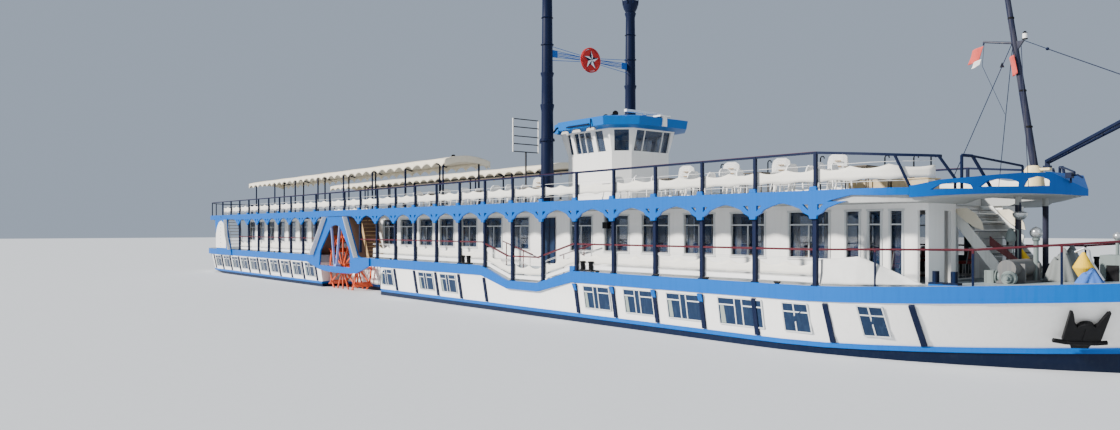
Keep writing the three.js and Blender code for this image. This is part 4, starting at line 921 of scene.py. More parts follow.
def makeColumnDetails():
    tabPlan, footPlan = newPlans(2)
    for x in gallery["columns"]:
        tab = [(x - 0.06, 2.236), (x + 0.06, 2.236), (x + 0.045, 2.29), (x - 0.045, 2.29)]
        addPlate(tabPlan, tab, 0.04, Matrix.Translation((0, -2.331, 0)) @ facingSide)
        foot = deckTop - dipAt(x)
        addBlock(footPlan, (x - 0.05, -2.302, foot), (x + 0.05, -2.228, foot + 0.012))
        for dx in (-0.038, 0.038):
            addPost(footPlan, x + dx, -2.296, foot + 0.012, foot + 0.02, 0.008, 6)
    finishPiece("fasciaTabs", tabPlan, "blue", both=True)
    finishPiece("columnFeet", footPlan, "navy", both=True)


def makeGalleryGear():
    railPlan, blackPlan, bluePlan = newPlans(3)
    for points in gallery["handrails"]:
        addPath(railPlan, [(x, -1.72, z) for x, z in points], 0.014, 8)
        for share in (0.12, 0.7):
            x, z = [a + (b - a) * share for a, b in zip(*points)]
            addPost(railPlan, x, -1.72, deckTop - dipAt(x) - 0.005, z, 0.011)
    for x in gallery["bollards"]:
        addTurned(blackPlan, gallery["bollard"], (x, -2.255, deckTop - dipAt(x) + 0.03), 14)
    for x in gallery["bollardFeet"]:
        base = deckTop - dipAt(x)
        addBlock(blackPlan, (x - 0.19, -2.3, base + 0.01), (x + 0.19, -2.19, base + 0.035))
    addBlock(blackPlan, (6.06, -1.68, 1.72), (6.2, -1.585, 1.84))  # lamp on the saloon wall
    addBlock(bluePlan, (5.82, -2.29, 0.93), (5.98, -2.2, 1.03))
    finishPiece("rampHandrails", railPlan, "star_red", nodeFinishes["gate_rail"], both=True)
    finishPiece("galleryBollards", blackPlan, "black", both=True)
    finishPiece("rollerHousings", bluePlan, "blue", both=True, bevel=0.008)


makeColumnDetails()
makeGalleryGear()
print("columns detailed")


# loose furniture on the sun deck
sunDeck = {
    "stacks": [7.5, 8.5, 9.5, 10.5, 3.2],
    "stackY": -0.9,
    "stackTurn": 120,
    "stackHigh": 7,
    "stackStep": 0.029,
    "stackLean": 0.008,
    "marks": (0.34, 0.42, 0.5),
    "poles": [(8.0, 2.86), (9.0, 2.86), (10.0, 2.86), (11.08, 2.8), (11.52, 2.77), (11.77, 2.76)],
    "hook": [(0, -0.03), (0.012, -0.008), (0.035, 0.0), (0.06, -0.01), (0.07, -0.04)],
    "rows": (-0.6, 0.4, 1.6, 2.5, 3.4, 6.4, 7.3, 8.2, 9.2, 10.1, 10.9),
    "rowY": -1.75,
    "tableTop": 0.335,
    "lockers": [(11.15, -1.05, 0.3), (11.75, -1.0, 0.26)],  # (x, y, half its length)
}
shellChair = {
    "leg": 0.11,
    "seat": 0.2,
    "back": [(-0.13, 0.2), (0.13, 0.2), (0.15, 0.32), (0.125, 0.41)]
    + [(0.07, 0.45), (-0.07, 0.45), (-0.125, 0.41), (-0.15, 0.32)],
    "lean": -0.16,
    "arms": (-0.145, 0.13),
    "armHigh": 0.31,
}


def addShellChair(plan, x, y, z, turn):
    # moulded chair with a round-topped back, turned about the vertical
    before = set(plan.verts)
    leg, seat, arm = shellChair["leg"], shellChair["seat"], shellChair["armHigh"]
    for dx in (-leg, leg):
        for dy in (-leg, leg):
            addRod(plan, (dx * 1.15, dy * 1.15, 0), (dx * 0.9, dy * 0.9, seat + 0.01), 0.012, 5)
    addBlock(plan, (-0.12, -0.13, seat), (0.12, 0.13, seat + 0.022))
    back = Matrix.Translation((-0.12, 0, 0)) @ Matrix.Rotation(shellChair["lean"], 4, "Y") @ facingAhead
    addPlate(plan, shellChair["back"], 0.016, back)
    for dy in shellChair["arms"]:
        addBlock(plan, (-0.12, dy, arm), (0.1, dy + 0.015, arm + 0.018))
        addPost(plan, 0.095, dy + 0.007, seat, arm + 0.005, 0.009, 5)
    place = Matrix.Translation((x, y, z)) @ Matrix.Rotation(turn, 4, "Z")
    bmesh.ops.transform(plan, matrix=place, verts=[vert for vert in plan.verts if vert not in before])


def makeSunDeck():
    chairPlan, tablePlan, polePlan, lockerPlan, markPlan = newPlans(5)
    y = sunDeck["stackY"]
    turn = math.radians(sunDeck["stackTurn"])
    for x in sunDeck["stacks"]:
        for level in range(sunDeck["stackHigh"]):
            lean = Vector((math.cos(turn), math.sin(turn))) * sunDeck["stackLean"] * level
            addShellChair(chairPlan, x + lean.x, y + lean.y, sunTop + level * sunDeck["stackStep"], turn)
        behind = Matrix.Translation((x, y, sunTop)) @ Matrix.Rotation(turn, 4, "Z")
        for mark in sunDeck["marks"]:
            verts = addBlock(markPlan, (-0.2, -0.045, mark), (-0.185, 0.045, mark + 0.012))
            bmesh.ops.transform(markPlan, matrix=behind, verts=verts)
    y, top = sunDeck["rowY"], sunTop + sunDeck["tableTop"]
    for index, x in enumerate(sunDeck["rows"]):
        facing = 0 if index % 2 == 0 else math.pi
        addShellChair(chairPlan, x, y, sunTop, facing)
        addShellChair(chairPlan, x, y + 0.42, sunTop, facing + 0.2)
    for x in sunDeck["rows"][::2]:
        addBlock(tablePlan, (x + 0.28, y - 0.12, top), (x + 0.62, y + 0.5, top + 0.015))
        for dx in (0.3, 0.6):
            for dy in (-0.1, 0.48):
                addPost(tablePlan, x + dx, y + dy, sunTop, top, 0.009, 6)
    for x, top in sunDeck["poles"]:
        addPost(polePlan, x, -0.6, sunTop, top - 0.03, 0.011, 7)
        addPath(polePlan, [(x + dx, -0.6, top + dz) for dx, dz in sunDeck["hook"]], 0.01, 6)
        addPost(polePlan, x, -0.6, sunTop, sunTop + 0.012, 0.03, 10)
    for x, y, long in sunDeck["lockers"]:
        for lip, low, high in ((0, 0, 0.17), (0.012, 0.17, 0.19)):
            reach = Vector((long + lip, 0.16 + lip, 0))
            addBlock(lockerPlan, Vector((x, y, sunTop + low)) - reach, Vector((x, y, sunTop + high)) + reach)
    finishPiece("deckChairs", chairPlan, "white")
    finishPiece("deckTables", tablePlan, "navy", tableDark)
    finishPiece("hookPoles", polePlan, "black")
    finishPiece("deckLockers", lockerPlan, "wood", lockerTan, bevel=0.006)
    finishPiece("chairMarks", markPlan, "wood")


tableDark = paintFinish("tableTop", (0.09, 0.075, 0.06), amount=0.3, gloss=0.4)
lockerTan = paintFinish("lockerPaint", (0.56, 0.45, 0.28), dirt=(0.3, 0.22, 0.12), amount=0.35, gloss=0.5)
makeSunDeck()
print("sun deck furnished")


# wheelhouse: window bars, roof edge and what stands on the roof
wheelhouse = {
    "fore": 5.673,
    "half": 0.817,
    "sill": 3.255,
    "head": 3.725,
    "lean": 0.12,
    "roofHigh": 3.96,
    "arches": [(4.3, 0.12), (4.67, 0.135), (5.12, 0.14)],
    "archFoot": 3.69,
    "sideBars": (4.51, 4.69),
    "frontBars": (-0.27, 0.25),
    "searchlights": [(4.874, -0.5, 4.03), (5.163, -0.5, 4.075)],
    "horn": (6.0, 0.02),
    "dome": [(0, 0), (0.06, 0), (0.066, 0.04), (0.06, 0.1), (0.035, 0.135), (0, 0.142)],
    "pipes": [
        (0.02, [(3.76, -1.0, 3.78), (3.93, -1.05, 3.85), (4.48, -1.13, 3.875)]),
        (0.016, [(3.93, -1.0, 3.8), (4.5, -1.21, 3.81), (5.15, -1.215, 3.81)]),
        (0.012, [(5.2, -0.95, 3.97), (5.2, -1.215, 3.9), (5.2, -1.215, 3.72)]),
        (0.01, [(5.7, -0.98, 3.93), (5.66, -1.0, 3.9), (5.67, -1.01, 3.86)]),
    ],
}


def makeWheelhouse():
    archPlan, sidePlan, roofPlan, lampPlan, domePlan = newPlans(5)
    for x, radius in wheelhouse["arches"]:
        # pale half-round boards in the arches under the roof's edge
        angles = [math.pi * step / 10 for step in range(11)]
        foot = wheelhouse["archFoot"]
        outline = [(x + radius * math.cos(a), foot + radius * 0.55 * math.sin(a)) for a in angles]
        addPlate(archPlan, outline, 0.02, Matrix.Translation((0, -1.14, 0)) @ facingSide)
    finishPiece("eaveArches", archPlan, "white", soffitGrey, both=True)
    sill, head, lean = wheelhouse["sill"], wheelhouse["head"], wheelhouse["lean"]
    for sign in (-1, 1):
        y = sign * (wheelhouse["half"] + 0.004)
        for x in wheelhouse["sideBars"]:
            addBeam(sidePlan, (x, y, sill), (x, y + sign * lean, head), 0.014, 0.02, (0, sign, 0.2))
    x = wheelhouse["fore"] + 0.006
    for y in wheelhouse["frontBars"]:
        addBeam(sidePlan, (x, y, sill), (x + lean, y, head), 0.016, 0.02, (1, 0, 0.2))
    finishPiece("wheelhouseBars", sidePlan, "white")

    top = wheelhouse["roofHigh"]
    for x, y, z in wheelhouse["searchlights"]:
        addRod(lampPlan, (x - 0.05, y + 0.03, z), (x + 0.04, y - 0.04, z), 0.05, 14, 0.062)
        addBall(lampPlan, (x - 0.05, y + 0.03, z), 0.05)
        addPost(lampPlan, x, y, top - 0.01, z - 0.04, 0.012)
    addBeam(lampPlan, *wheelhouse["searchlights"], 0.03, 0.03)
    addTurned(domePlan, wheelhouse["dome"], (5.02, -0.1, top), 16)
    for radius, points in wheelhouse["pipes"]:
        addPath(roofPlan, points, radius, 6)
    x, y = wheelhouse["horn"]
    addBlock(domePlan, (x + 0.03, y - 0.07, 3.77), (x + 0.07, y + 0.05, 3.97))
    addBlock(domePlan, (x - 0.12, y - 0.16, 3.96), (x + 0.08, y + 0.14, 3.99))
    finishPiece("roofGear", roofPlan, "navy")
    finishPiece("roofLamps", lampPlan, "black", smooth=True)
    finishPiece("roofDome", domePlan, "white", smooth=True)


soffitGrey = paintFinish("soffitPaint", (0.52, 0.49, 0.45), amount=0.3)
makeWheelhouse()
print("wheelhouse dressed")


# funnels: crown spikes and the star between them
funnels = {"x": 3.822, "y": 1.226, "crownZ": 6.97, "crownRadius": 0.17, "spikes": 8, "spikeTall": 0.1}
star = {
    "z": 5.457,
    "radius": 0.285,
    "waist": 0.42,
    "proud": 0.03,
    "ring": 0.262,
    "rods": (-2, -1, 0, 1, 2),
    "rodFan": (0.035, 0.075),
}


def makeFunnels():
    spikePlan, whitePlan, darkPlan, ringPlan, rodPlan = newPlans(5)
    for sign in (-1, 1):
        for step in range(funnels["spikes"]):
            angle = 2 * math.pi * (step + 0.5) / funnels["spikes"]
            outward = Vector((math.cos(angle), math.sin(angle), 0))
            root = Vector((funnels["x"], sign * funnels["y"], funnels["crownZ"] - 0.06))
            root += outward * funnels["crownRadius"]
            tip = root + outward * 0.035 + Vector((0, 0, funnels["spikeTall"]))
            addRod(spikePlan, root, tip, 0.03, 6, 0.004)

    low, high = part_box("star_spreader")

    def onStar(x, degrees, reach):
        angle = math.radians(degrees)
        return Vector((x, math.cos(angle) * reach, star["z"] + math.sin(angle) * reach))

    waist = star["radius"] * star["waist"]
    for sign, face in ((1, high[0]), (-1, low[0])):
        base = face - sign * 0.01
        hub = Vector((base, 0, star["z"]))
        middle = Vector((face + sign * star["proud"], 0, star["z"]))
        for point in range(5):
            degrees = 90 + 72 * point
            tip = onStar(base, degrees, star["radius"])
            for plan, turn in ((whitePlan, -36), (darkPlan, 36)):
                corners = (hub, middle, tip, onStar(base, degrees + turn, waist))
                bmesh.ops.convex_hull(plan, input=[plan.verts.new(spot) for spot in corners])
        for step in range(24):
            start, end = [onStar(face, 15 * (step + more), star["ring"]) for more in (0, 1)]
            addRod(ringPlan, start, end, 0.014, 6)
    narrow, broad = star["rodFan"]
    for sign in (-1, 1):
        for spread in star["rods"]:
            near = (funnels["x"], sign * 0.3, star["z"] + spread * narrow)
            far = (funnels["x"], sign * (funnels["y"] - 0.105), star["z"] + spread * broad)
            addRod(rodPlan, near, far, 0.006, 6)
    finishPiece("crownSpikes", spikePlan, "navy", body="funnels")
    finishPiece("starLight", whitePlan, "white", body="funnels")
    finishPiece("starDark", darkPlan, "navy", body="funnels")
    finishPiece("starRing", ringPlan, "star_red", body="funnels")
    finishPiece("starRods", rodPlan, "blue", body="funnels")


makeFunnels()
print("funnels dressed")


# mast head, lamps, flags and rigging
mastGear = {
    "heel": (12.894, 0, 2.577),
    "head": (12.38, 0, 6.05),
    "bands": (3.1, 3.6, 4.62, 5.1),
    "gaff": [(12.66, 0, 4.27), (12.233, 0, 4.357), (12.225, 0, 4.31)],
    "bracketTip": (12.75, 0, 4.29),
    "lamp": (12.77, 0, 4.31),
    "lampTall": 0.07,
    "horn": [(12.5, 0, 5.3), (12.36, 0, 5.24)],
    "cone": (12.5, -0.06, 3.95),
    "block": (13.05, 0, 4.12),
    "boomTie": (14.47, 0, 3.33),
    "stays": [
        [(12.62, 0, 4.3), (12.6, -1.72, 2.35)],
        [(12.62, 0, 4.3), (12.15, 0.66, 2.22)],
        [(12.72, 0, 4.28), (13.06, -0.64, 2.215)],
    ],
    "halyard": [(12.235, 0, 4.33), (12.21, 0, 4.02), (12.53, -0.04, 3.3)],
}


def makeFlag(name, finish, corner, wide, tall, lean):
    def place(u, v):
        x = corner[0] - wide * (1 - u) - lean * (1 - v)
        y = corner[1] + 0.03 * math.sin(u * 4.5 + v * 2.5) * (1 - u)
        return Vector((x, y, corner[2] - tall * (1 - v) - 0.04 * (1 - u)))

    flat = lambda area: (area / tall * 1.02, tall)
    hangSheet(name, 12, 10, place, finish, flat, "hung", "mastRigging", thick=0.002)


def makeMastGear():
    rigPlan, lampPlan, capPlan, liftPlan = newPlans(4)
    addPath(rigPlan, mastGear["gaff"], 0.012, 6)
    for points in mastGear["stays"]:
        addPath(rigPlan, points, 0.005)
    addPath(rigPlan, mastGear["halyard"], 0.003)
    addPath(rigPlan, [mastGear["bracketTip"], mastGear["block"]], 0.005)
    addBall(rigPlan, mastGear["block"], 0.022)
    x, y, z = mastGear["lamp"]
    top = z + mastGear["lampTall"]
    addPost(lampPlan, x, y, z, top, 0.03, 12)
    addPost(capPlan, x, y, top, top + 0.03, 0.036, 12, 0.012)
    addPost(capPlan, x, y, z - 0.012, z, 0.036, 12)
    addRod(capPlan, *mastGear["horn"], 0.012, 6, 0.004)
    x, y, z = mastGear["cone"]
    addPost(capPlan, x, y, z, z + 0.07, 0.03, 8, 0.002)
    heel, head = Vector(mastGear["heel"]), Vector(mastGear["head"])
    addRod(capPlan, head, head + Vector((-0.006, 0, 0.05)), 0.03, 10, 0.012)
    for level in mastGear["bands"]:
        share = (level - heel.z) / (head.z - heel.z)
        x, y, z = heel.lerp(head, share)
        addPost(capPlan, x, y, z - 0.012, z + 0.012, 0.054 - share * 0.02, 12)
    finishPiece("mastRigging", rigPlan, "navy")
    finishPiece("mastLamp", lampPlan, "white", smooth=True)
    finishPiece("mastFittings", capPlan, "black")
    makeFlag("flagRed", flagRed, (12.23, -0.01, 4.3), 0.16, 0.2, 0.06)
    makeFlag("flagWhite", flagWhite, (12.2, -0.01, 4.12), 0.12, 0.08, 0.02)
    makeFlag("flagMast", flagRed, (12.66, -0.07, 4.1), 0.07, 0.26, -0.05)
    addPath(liftPlan, [mastGear["block"], mastGear["boomTie"]], 0.006, 6)
    bmesh.ops.subdivide_edges(liftPlan, edges=liftPlan.edges[:], cuts=2)
    return finishPiece("toppingLift", liftPlan, "navy", body=None)


flagRed = clothFinish("flagRed", (0.60, 0.05, 0.04), stain=(0.3, 0.03, 0.03), amount=0.2)
flagWhite = clothFinish("flagWhite", (0.82, 0.82, 0.80), amount=0.15)
toppingLift = makeMastGear()
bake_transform(toppingLift)
print("mast rigged")


# boom: cross rods between its two tubes
boom = {
    "heel": (13.05, 0, 2.61),
    "pitch": 27,
    "rods": (0.35, 0.7, 1.05, 1.4, 1.75, 2.1, 2.45),
    "braces": (0.7, 1.4, 2.1),
}


def makeBoom():
    plan = bmesh.new()
    heel = Vector(boom["heel"])
    pitch = math.radians(boom["pitch"])
    along = Vector((math.cos(pitch), 0, math.sin(pitch)))
    across = Vector((0, 1, 0))
    for reach in boom["rods"]:
        middle = heel + along * reach
        half = across * (0.05 + 0.15 * reach / 2.85)
        addRod(plan, middle - half, middle + half, 0.011)
    for reach in boom["braces"]:
        half = across * (0.05 + 0.053 * reach)
        addRod(plan, heel + along * reach - half, heel + along * (reach + 0.35) + half, 0.008, 6)
    finishPiece("boomBraces", plan, "navy", body="boom")


makeBoom()


# foredeck: anchors, lamp column, buoys, covered gear and the crown's lamps
foredeck = {
    "top": 1.0,
    "lamps": [((13.17, -0.7), 1.0, 1.6, 0.03), ((13.94, -0.3), 1.1, 1.58, 0.02)],
    "bell": [(0, 0), (0.055, 0), (0.066, 0.03), (0.05, 0.12), (0.03, 0.16), (0, 0.17)],
    "buoy": [(0, 0), (0.022, 0), (0.112, 0.165), (0.112, 0.178), (0.016, 0.355), (0, 0.36)],
    "buoyAt": (13.765, -0.9, 1.08),
    "cone": [(13.045, -0.6, 1.228), (12.965, -0.6, 1.45)],
    "hoop": [(13.74, 1.44), (13.84, 1.49), (13.89, 1.46), (13.905, 1.35), (14.04, 1.12)],
    "bitts": [(13.35, -0.25), (13.5, 0.4)],
    "chest": [(13.86, -0.66, 1.02), (14.1, -0.3, 1.4)],
    "chestMouthShade": [(13.93, -0.668, 1.06), (14.06, -0.65, 1.28)],
    # black block on the chest's face: painted shade for the inside of its mouth
    "capstan": [(0, 0), (0.05, 0), (0.05, 0.04), (0.035, 0.055), (0, 0.06)],
    "gypsy": [(0.09, -1.36), (0.055, -1.39), (0.025, -1.42)],
    "bowl": [(0, 0), (0.05, 0.01), (0.085, 0.05), (0.09, 0.09), (0.05, 0.11), (0, 0.112)],
    "bowlAt": (12.95, -0.62, 1.83),
    "crownArm": [(13.43, -0.3, 2.39), (13.52, -0.34, 2.4), (13.58, -0.36, 2.36)],
}


def makeForedeck():
    ironPlan, silverPlan, buoyPlan, postPlan, gearPlan, capPlan = newPlans(6)
    deck = foredeck["top"]
    for (x, y), low, high, radius in foredeck["lamps"]:
        tall = high - low
        column = [(0, 0), (radius * 2, 0), (radius * 2, 0.02), (radius, 0.04), (radius, tall - 0.04)]
        column += [(radius * 1.5, tall - 0.03), (radius * 1.5, tall), (0, tall)]
        addTurned(postPlan, column, (x, y, low), 16)
        addBall(silverPlan, (x, y, high + radius * 2.2), radius * 2.45, 3)
        addPost(silverPlan, x, y, high + radius * 4, high + radius * 5, 0.006, 6)
    # grey bell and two thin stanchions aft of the lamp
    addTurned(postPlan, foredeck["bell"], (12.86, -0.68, 1.55), 16)
    for x in (12.9, 12.955):
        addPost(postPlan, x, -0.7, deck, 1.7, 0.009, 6)
    addRod(postPlan, (12.955, -0.7, 1.7), (12.86, -0.68, 1.72), 0.008, 6)
    # leaning cone, and a buoy of two cones
    addRod(buoyPlan, *foredeck["cone"], 0.082, 18, 0.006)
    addTurned(buoyPlan, foredeck["buoy"], foredeck["buoyAt"], 24)
    addPost(ironPlan, 13.045, -0.6, deck, 1.23, 0.012, 6)
    # rail hoop ahead of the buoy
    addPath(silverPlan, [(x, -1.1, z) for x, z in foredeck["hoop"]], 0.011, 8)
    for x, y in foredeck["bitts"]:
        addPost(ironPlan, x, y, deck, 1.32, 0.03, 10)
        addPost(ironPlan, x, y, 1.32, 1.35, 0.04, 10)
    # stowage chest near the stem; a black block on its face is painted shade for its open mouth
    addBlock(postPlan, *foredeck["chest"])
    addBlock(ironPlan, *foredeck["chestMouthShade"])
    finishPiece("foredeckIron", ironPlan, "black")
    finishPiece("foredeckPosts", postPlan, "iron", greenGrey, bevel=0.003)
    finishPiece("lampGlobes", silverPlan, "iron", silver, smooth=True)
    finishPiece("ropeBuoys", buoyPlan, "canvas", buoyYellow)

    # windlass fittings: housings, rope drum, capstan and gypsy discs
    addBlock(gearPlan, (12.66, -1.0, deck), (12.78, -0.84, 1.18))
    addRod(gearPlan, (12.78, -0.92, 1.1), (12.95, -0.92, 1.1), 0.07, 16)
    for x in (12.8, 12.87, 12.94):
        addRod(gearPlan, (x - 0.008, -0.92, 1.1), (x + 0.008, -0.92, 1.1), 0.095, 18)
    addTurned(capPlan, foredeck["capstan"], (12.9, -0.92, 1.2), 14)
    for radius, reach in foredeck["gypsy"]:
        addRod(gearPlan, (13.1, -1.3, 1.11), (13.1, reach, 1.11), radius, 20)
    finishPiece("windlassGear", gearPlan, "iron", greenGrey, both=True, bevel=0.004)
    finishPiece("capstanCap", capPlan, "white", smooth=True)


def makeCrownLamps():
    bowlPlan, armPlan = newPlans(2)
    x, y, z = foredeck["bowlAt"]
    addTurned(bowlPlan, foredeck["bowl"], (x, y, z), 18)
    addPost(armPlan, x, y, z + 0.1, z + 0.23, 0.01, 6)
    addPost(armPlan, 13.43, -0.3, 2.3, 2.4, 0.012, 6)
    addPath(armPlan, foredeck["crownArm"], 0.01, 6)
    addBlock(armPlan, (13.4, -0.41, 2.36), (13.47, -0.31, 2.43))
    finishPiece("crownLampBowl", bowlPlan, "iron", silver, smooth=True)
    finishPiece("crownLampArms", armPlan, "navy")


# black stocked anchor housed against each bow, flukes up; outlines are (along, up)
anchor = {
    "x": 13.75,
    "low": 0.36,
    "stretch": 1.36,
    "fluke": [(0, 0.08), (0.2, 0.08), (0.205, 0.43), (0.17, 0.42), (0.12, 0.29), (0.085, 0.255), (0, 0.28)],
    "foot": [(-0.12, 0.07), (-0.09, 0), (0.09, 0), (0.12, 0.07)],
    "stock": [(-0.3, 0.085), (-0.15, 0.062), (0.15, 0.06), (0.27, 0.075)],
}


def makeAnchors():
    plan = bmesh.new()
    outward = hullRay(anchor["x"], anchor["low"] + 0.2)[1]
    along = Vector((-outward.y, outward.x, 0)).normalized()
    rise = outward.cross(along)
    rise = (rise if rise.z > 0 else -rise) * anchor["stretch"]
    foot = onHull(anchor["x"], anchor["low"], 0.03)
    place = Matrix.Translation(foot) @ Matrix((along, rise, outward)).transposed().to_4x4()
    for side in (-1, 1):
        addPlate(plan, [(a * side, b) for a, b in anchor["fluke"]], 0.05, place)
    angles = [math.pi * step / 8 for step in range(9)]
    addPlate(plan, [(0.09 * math.cos(a), 0.25 + 0.055 * math.sin(a)) for a in angles], 0.07, place)
    addPlate(plan, anchor["foot"], 0.06, place)
    addPath(plan, [place @ Vector((a, b, 0.045)) for a, b in anchor["stock"]], 0.028, 10)
    finishPiece("bowAnchors", plan, "black", both=True, bevel=0.004)


silver = paintFinish("lampMetal", (0.55, 0.57, 0.58), amount=0.3, gloss=0.18, metallic=0.7)
greenGrey = paintFinish("machineryPaint", (0.20, 0.24, 0.23), dirt=(0.08, 0.09, 0.09), amount=0.5, gloss=0.4)
buoyYellow = paintFinish("buoyPaint", (0.78, 0.50, 0.03), dirt=(0.35, 0.2, 0.05), amount=0.3, gloss=0.4)
makeForedeck()
makeAnchors()
makeCrownLamps()


# canvas over stowed gear
def makeCovers():
    # laced to the rail ahead of the gallery, falling to the deck at its fore end
    def placeScreen(u, v):
        x = 11.04 + 1.31 * u
        top = 1.3 + 0.055 * min(1.0, u / 0.43) - 0.33 * max(0.0, (u - 0.43) / 0.57)
        low = deckTop + sheerAt(x) + 0.025
        outer = 2.232 - 0.3 * max(0.0, u - 0.4) - 0.05 * v
        return Vector((x, -outer + 0.012 * math.sin(u * 15 + v * 4), low + (max(top, low + 0.01) - low) * v))

    rail = "gallery_rail_fore_starboard"
    hangSheet("coverScreen", 40, 12, placeScreen, coverWhite, (1.4, 0.42), "hung", rail)

    # (name, centre, half sizes, foot, height, finish)
    gear = [
        ("coverFore", (13.43, -0.62), (0.2, 0.17), 1.04, 0.35, coverGrey),
        ("coverMiddle", (13.25, 0.15), (0.25, 0.35), 1.05, 0.36, coverGrey),
        ("coverBlue", (13.89, -1.08), (0.17, 0.11), 1.05, 0.165, coverBlue),
    ]
    for name, (cx, cy), (halfX, halfY), low, tall, finish in gear:

        def place(u, v):
            # lumpy on top, then down to the deck
            a, b = 2 * u - 1, 2 * v - 1
            edge = max(abs(a), abs(b))
            fall = min(1.0, max(0.0, (edge - 0.35) / 0.65))
            lump = 0.16 * math.sin(a * 5 + b * 3) * (1 - fall) + 0.1 * math.sin(b * 7 - a * 2) * (1 - fall)
            wave = 1 + 0.08 * fall * math.sin(9 * math.atan2(b, a + 0.001))
            grow = edge / (math.hypot(a, b) or 1.0) * (0.8 + 0.2 * fall) * wave
            z = low + tall * (1 - fall**1.5) * (1 + lump)
            return Vector((cx + a * halfX * grow, cy + b * halfY * grow, z))

        flat = lambda area: (math.sqrt(area) * 1.04,) * 2
        hangSheet(name, 30, 30, place, finish, flat, "draped", "foredeck")


coverWhite = clothFinish("coverWhite", (0.72, 0.72, 0.70), stain=(0.35, 0.37, 0.38), amount=0.5, crease=1.5)
coverGrey = clothFinish("coverGrey", (0.15, 0.17, 0.175), stain=(0.06, 0.07, 0.08), amount=0.5, crease=2.0)
coverBlue = clothFinish("coverBlue", (0.005, 0.12, 0.50), stain=(0.01, 0.04, 0.12), amount=0.4, crease=1.5)
makeCovers()
print("foredeck dressed")


# stairs at the aft end of both galleries, and fittings of the fore stairs
stairs = {
    "aftTop": (-14.95, -1.92, 2.02),
    "aftFoot": (-14.42, -1.92, 0.96),
    "steps": 9,
    "tread": (0.05, 0.2, 0.009),  # half sizes
    "handrail": 0.42,
    "foreTop": (12.02, 2.03),
    "foreFoot": (12.8, 1.12),
    "board": [(12.14, 1.99), (12.3, 2.0), (12.42, 1.92), (12.5, 1.8)]
    + [(12.52, 1.7), (12.42, 1.73), (12.28, 1.82), (12.18, 1.92)],
    "slope": [(12.62, 1.5), (13.0, 1.22), (13.0, 1.3), (12.62, 1.62)],
}


def makeAftStairs():
    treadPlan, stringPlan = newPlans(2)
    start, end = Vector(stairs["aftTop"]), Vector(stairs["aftFoot"])
    up = Vector((0, 0, stairs["handrail"]))
    for step in range(stairs["steps"]):
        spot = start.lerp(end, (step + 0.5) / stairs["steps"])
        addBlock(treadPlan, spot - Vector(stairs["tread"]), spot + Vector(stairs["tread"]))
    for dy in (-0.21, 0.21):
        side = Vector((0, dy, 0))
        addBeam(stringPlan, start + side, end + side, 0.09, 0.016, (0, 1, 0))
        addRod(stringPlan, start + side + up, end + side + up, 0.01, 6)
        for share in (0.3, 0.97):
            spot = start.lerp(end, share) + side
            addRod(stringPlan, spot, spot + up, 0.009, 6)
    finishPiece("aftStairTreads", treadPlan, "wood", both=True, bevel=0.003)
    finishPiece("aftStairStrings", stringPlan, "white", both=True)


def makeForeStairs():
    boardPlan, slopePlan, treadPlan = newPlans(3)
    for sign in (-1, 1):
        addPlate(boardPlan, stairs["board"], 0.02, Matrix.Translation((0, sign * 0.68 - 0.01, 0)) @ facingSide)
    for step in range(stairs["steps"]):
        share = (step + 0.5) / stairs["steps"]
        x, z = [a + (b - a) * share for a, b in zip(stairs["foreTop"], stairs["foreFoot"])]
        addBlock(treadPlan, (x - 0.035, -0.6, z), (x + 0.035, 0.6, z + 0.01))
    addPanel(slopePlan, [(x, -0.72, z) for x, z in stairs["slope"]], 0.02)
    finishPiece("stairBoards", boardPlan, "canvas")
    finishPiece("stairTreads", treadPlan, "black")
    finishPiece("stairSlope", slopePlan, "star_red", paintFinish("slopeRed", darkRed, amount=0.3))


makeAftStairs()
makeForeStairs()


# paddle wheels: bolt plates, and small lamps on the boxes' and the lounge's edges
wheelGear = {"x": -4.47, "y": 1.875, "z": 0.625, "rings": (-0.2, 0.2), "reach": 0.86, "plates": 12}
# rows of lamps, each (x, lowest, step, inner end, outer end)
lampRows = [
    (-6.55, 0.98, 0.12, 2.352, 2.362),
    (-2.35, 0.98, 0.12, 2.352, 2.362),
    (-14.95, 1.05, 0.14, 2.346, 2.36),
]


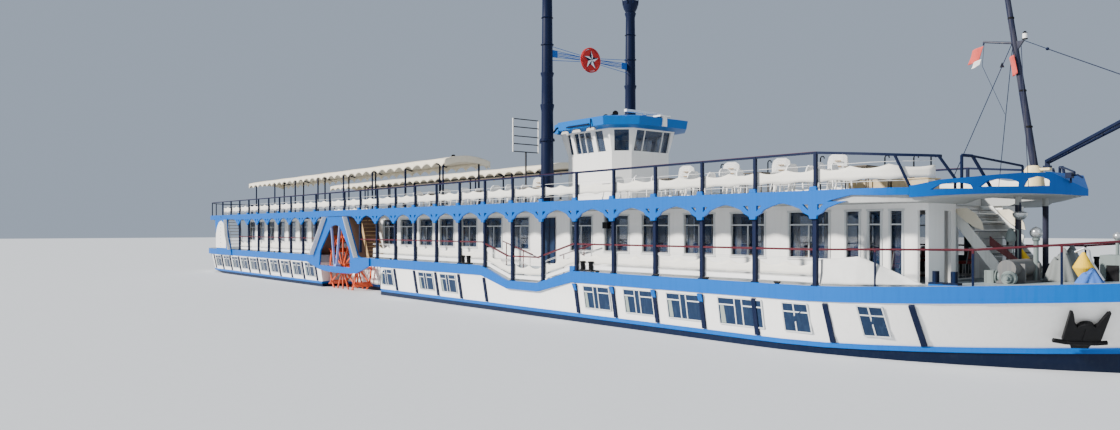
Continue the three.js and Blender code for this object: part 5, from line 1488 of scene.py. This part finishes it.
def makeWheelGear():
    for side, sign in sides.items():
        plan = bmesh.new()
        centre = Vector((wheelGear["x"], sign * wheelGear["y"], wheelGear["z"]))
        for step in range(wheelGear["plates"]):
            angle = math.radians(360 / wheelGear["plates"] * (step + 0.5))
            outward = Vector((math.cos(angle), 0, math.sin(angle)))
            for y in wheelGear["rings"]:
                spot = centre + outward * wheelGear["reach"] + Vector((0, y, 0))
                addBeam(plan, spot, spot + outward * 0.1, 0.05, 0.02, (0, 1, 0))
        finishPiece(f"wheelPlates_{side}", plan, "wheel_red", body=f"wheel_{side}")
    lampPlan = bmesh.new()
    for x, low, rise, near, far in lampRows:
        for step in range(9):
            z = low + step * rise
            addRod(lampPlan, (x, -near, z), (x, -far, z), 0.014)
    finishPiece("sideLamps", lampPlan, "black", both=True)


makeWheelGear()
print("wheels and stairs dressed")


# camera, floor and lights
studio = {
    "cameraAt": (17.308, -11.875, 1.716),
    "cameraTurn": (90, 0, 50.8),
    "lens": 26.0,
    "shift": 0.0123,
    "sky": (0.68, 0.81, 1.0, 1),
    "skyStrength": 0.52,
    "floorSize": 150,
}


def addToScene(name, data):
    item = bpy.data.objects.new(name, data)
    bpy.context.scene.collection.objects.link(item)
    return item


def makeStudio():
    cameraData = bpy.data.cameras.new("photoCamera")
    camera = addToScene("photoCamera", cameraData)
    camera.location = studio["cameraAt"]
    camera.rotation_euler = [math.radians(turn) for turn in studio["cameraTurn"]]
    cameraData.sensor_width = 36
    cameraData.lens = studio["lens"]
    cameraData.shift_y = studio["shift"]
    cameraData.clip_start = 0.05
    cameraData.clip_end = 400
    bpy.context.scene.camera = camera

    plan = bmesh.new()
    bmesh.ops.create_grid(plan, x_segments=1, y_segments=1, size=studio["floorSize"])
    mesh = bpy.data.meshes.new("studioFloor")
    plan.to_mesh(mesh)
    plan.free()
    mesh.materials.append(paintFinish("floorFinish", (0.60, 0.62, 0.64), amount=0.03, gloss=0.6, size=0.3))
    addToScene("studioFloor", mesh)

    world = bpy.data.worlds.new("softStudio")
    world.use_nodes = True
    sky = world.node_tree.nodes["Background"]
    sky.inputs["Color"].default_value = studio["sky"]
    sky.inputs["Strength"].default_value = studio["skyStrength"]
    bpy.context.scene.world = world


def addSun(name, direction, strength, soft, color):
    data = bpy.data.lights.new(name, "SUN")
    data.energy = strength
    data.angle = math.radians(soft)
    data.color = color
    addToScene(name, data).rotation_euler = Vector(direction).to_track_quat("-Z", "Y").to_euler()


makeStudio()
addSun("keyLight", (0.40, 0.77, -0.47), 9.0, 5, (1, 0.96, 0.91))
addSun("foreFill", (-0.8, 0.35, -0.5), 0.45, 30, (0.9, 0.95, 1))
print("camera, floor and lights ready")

print("scene finished")
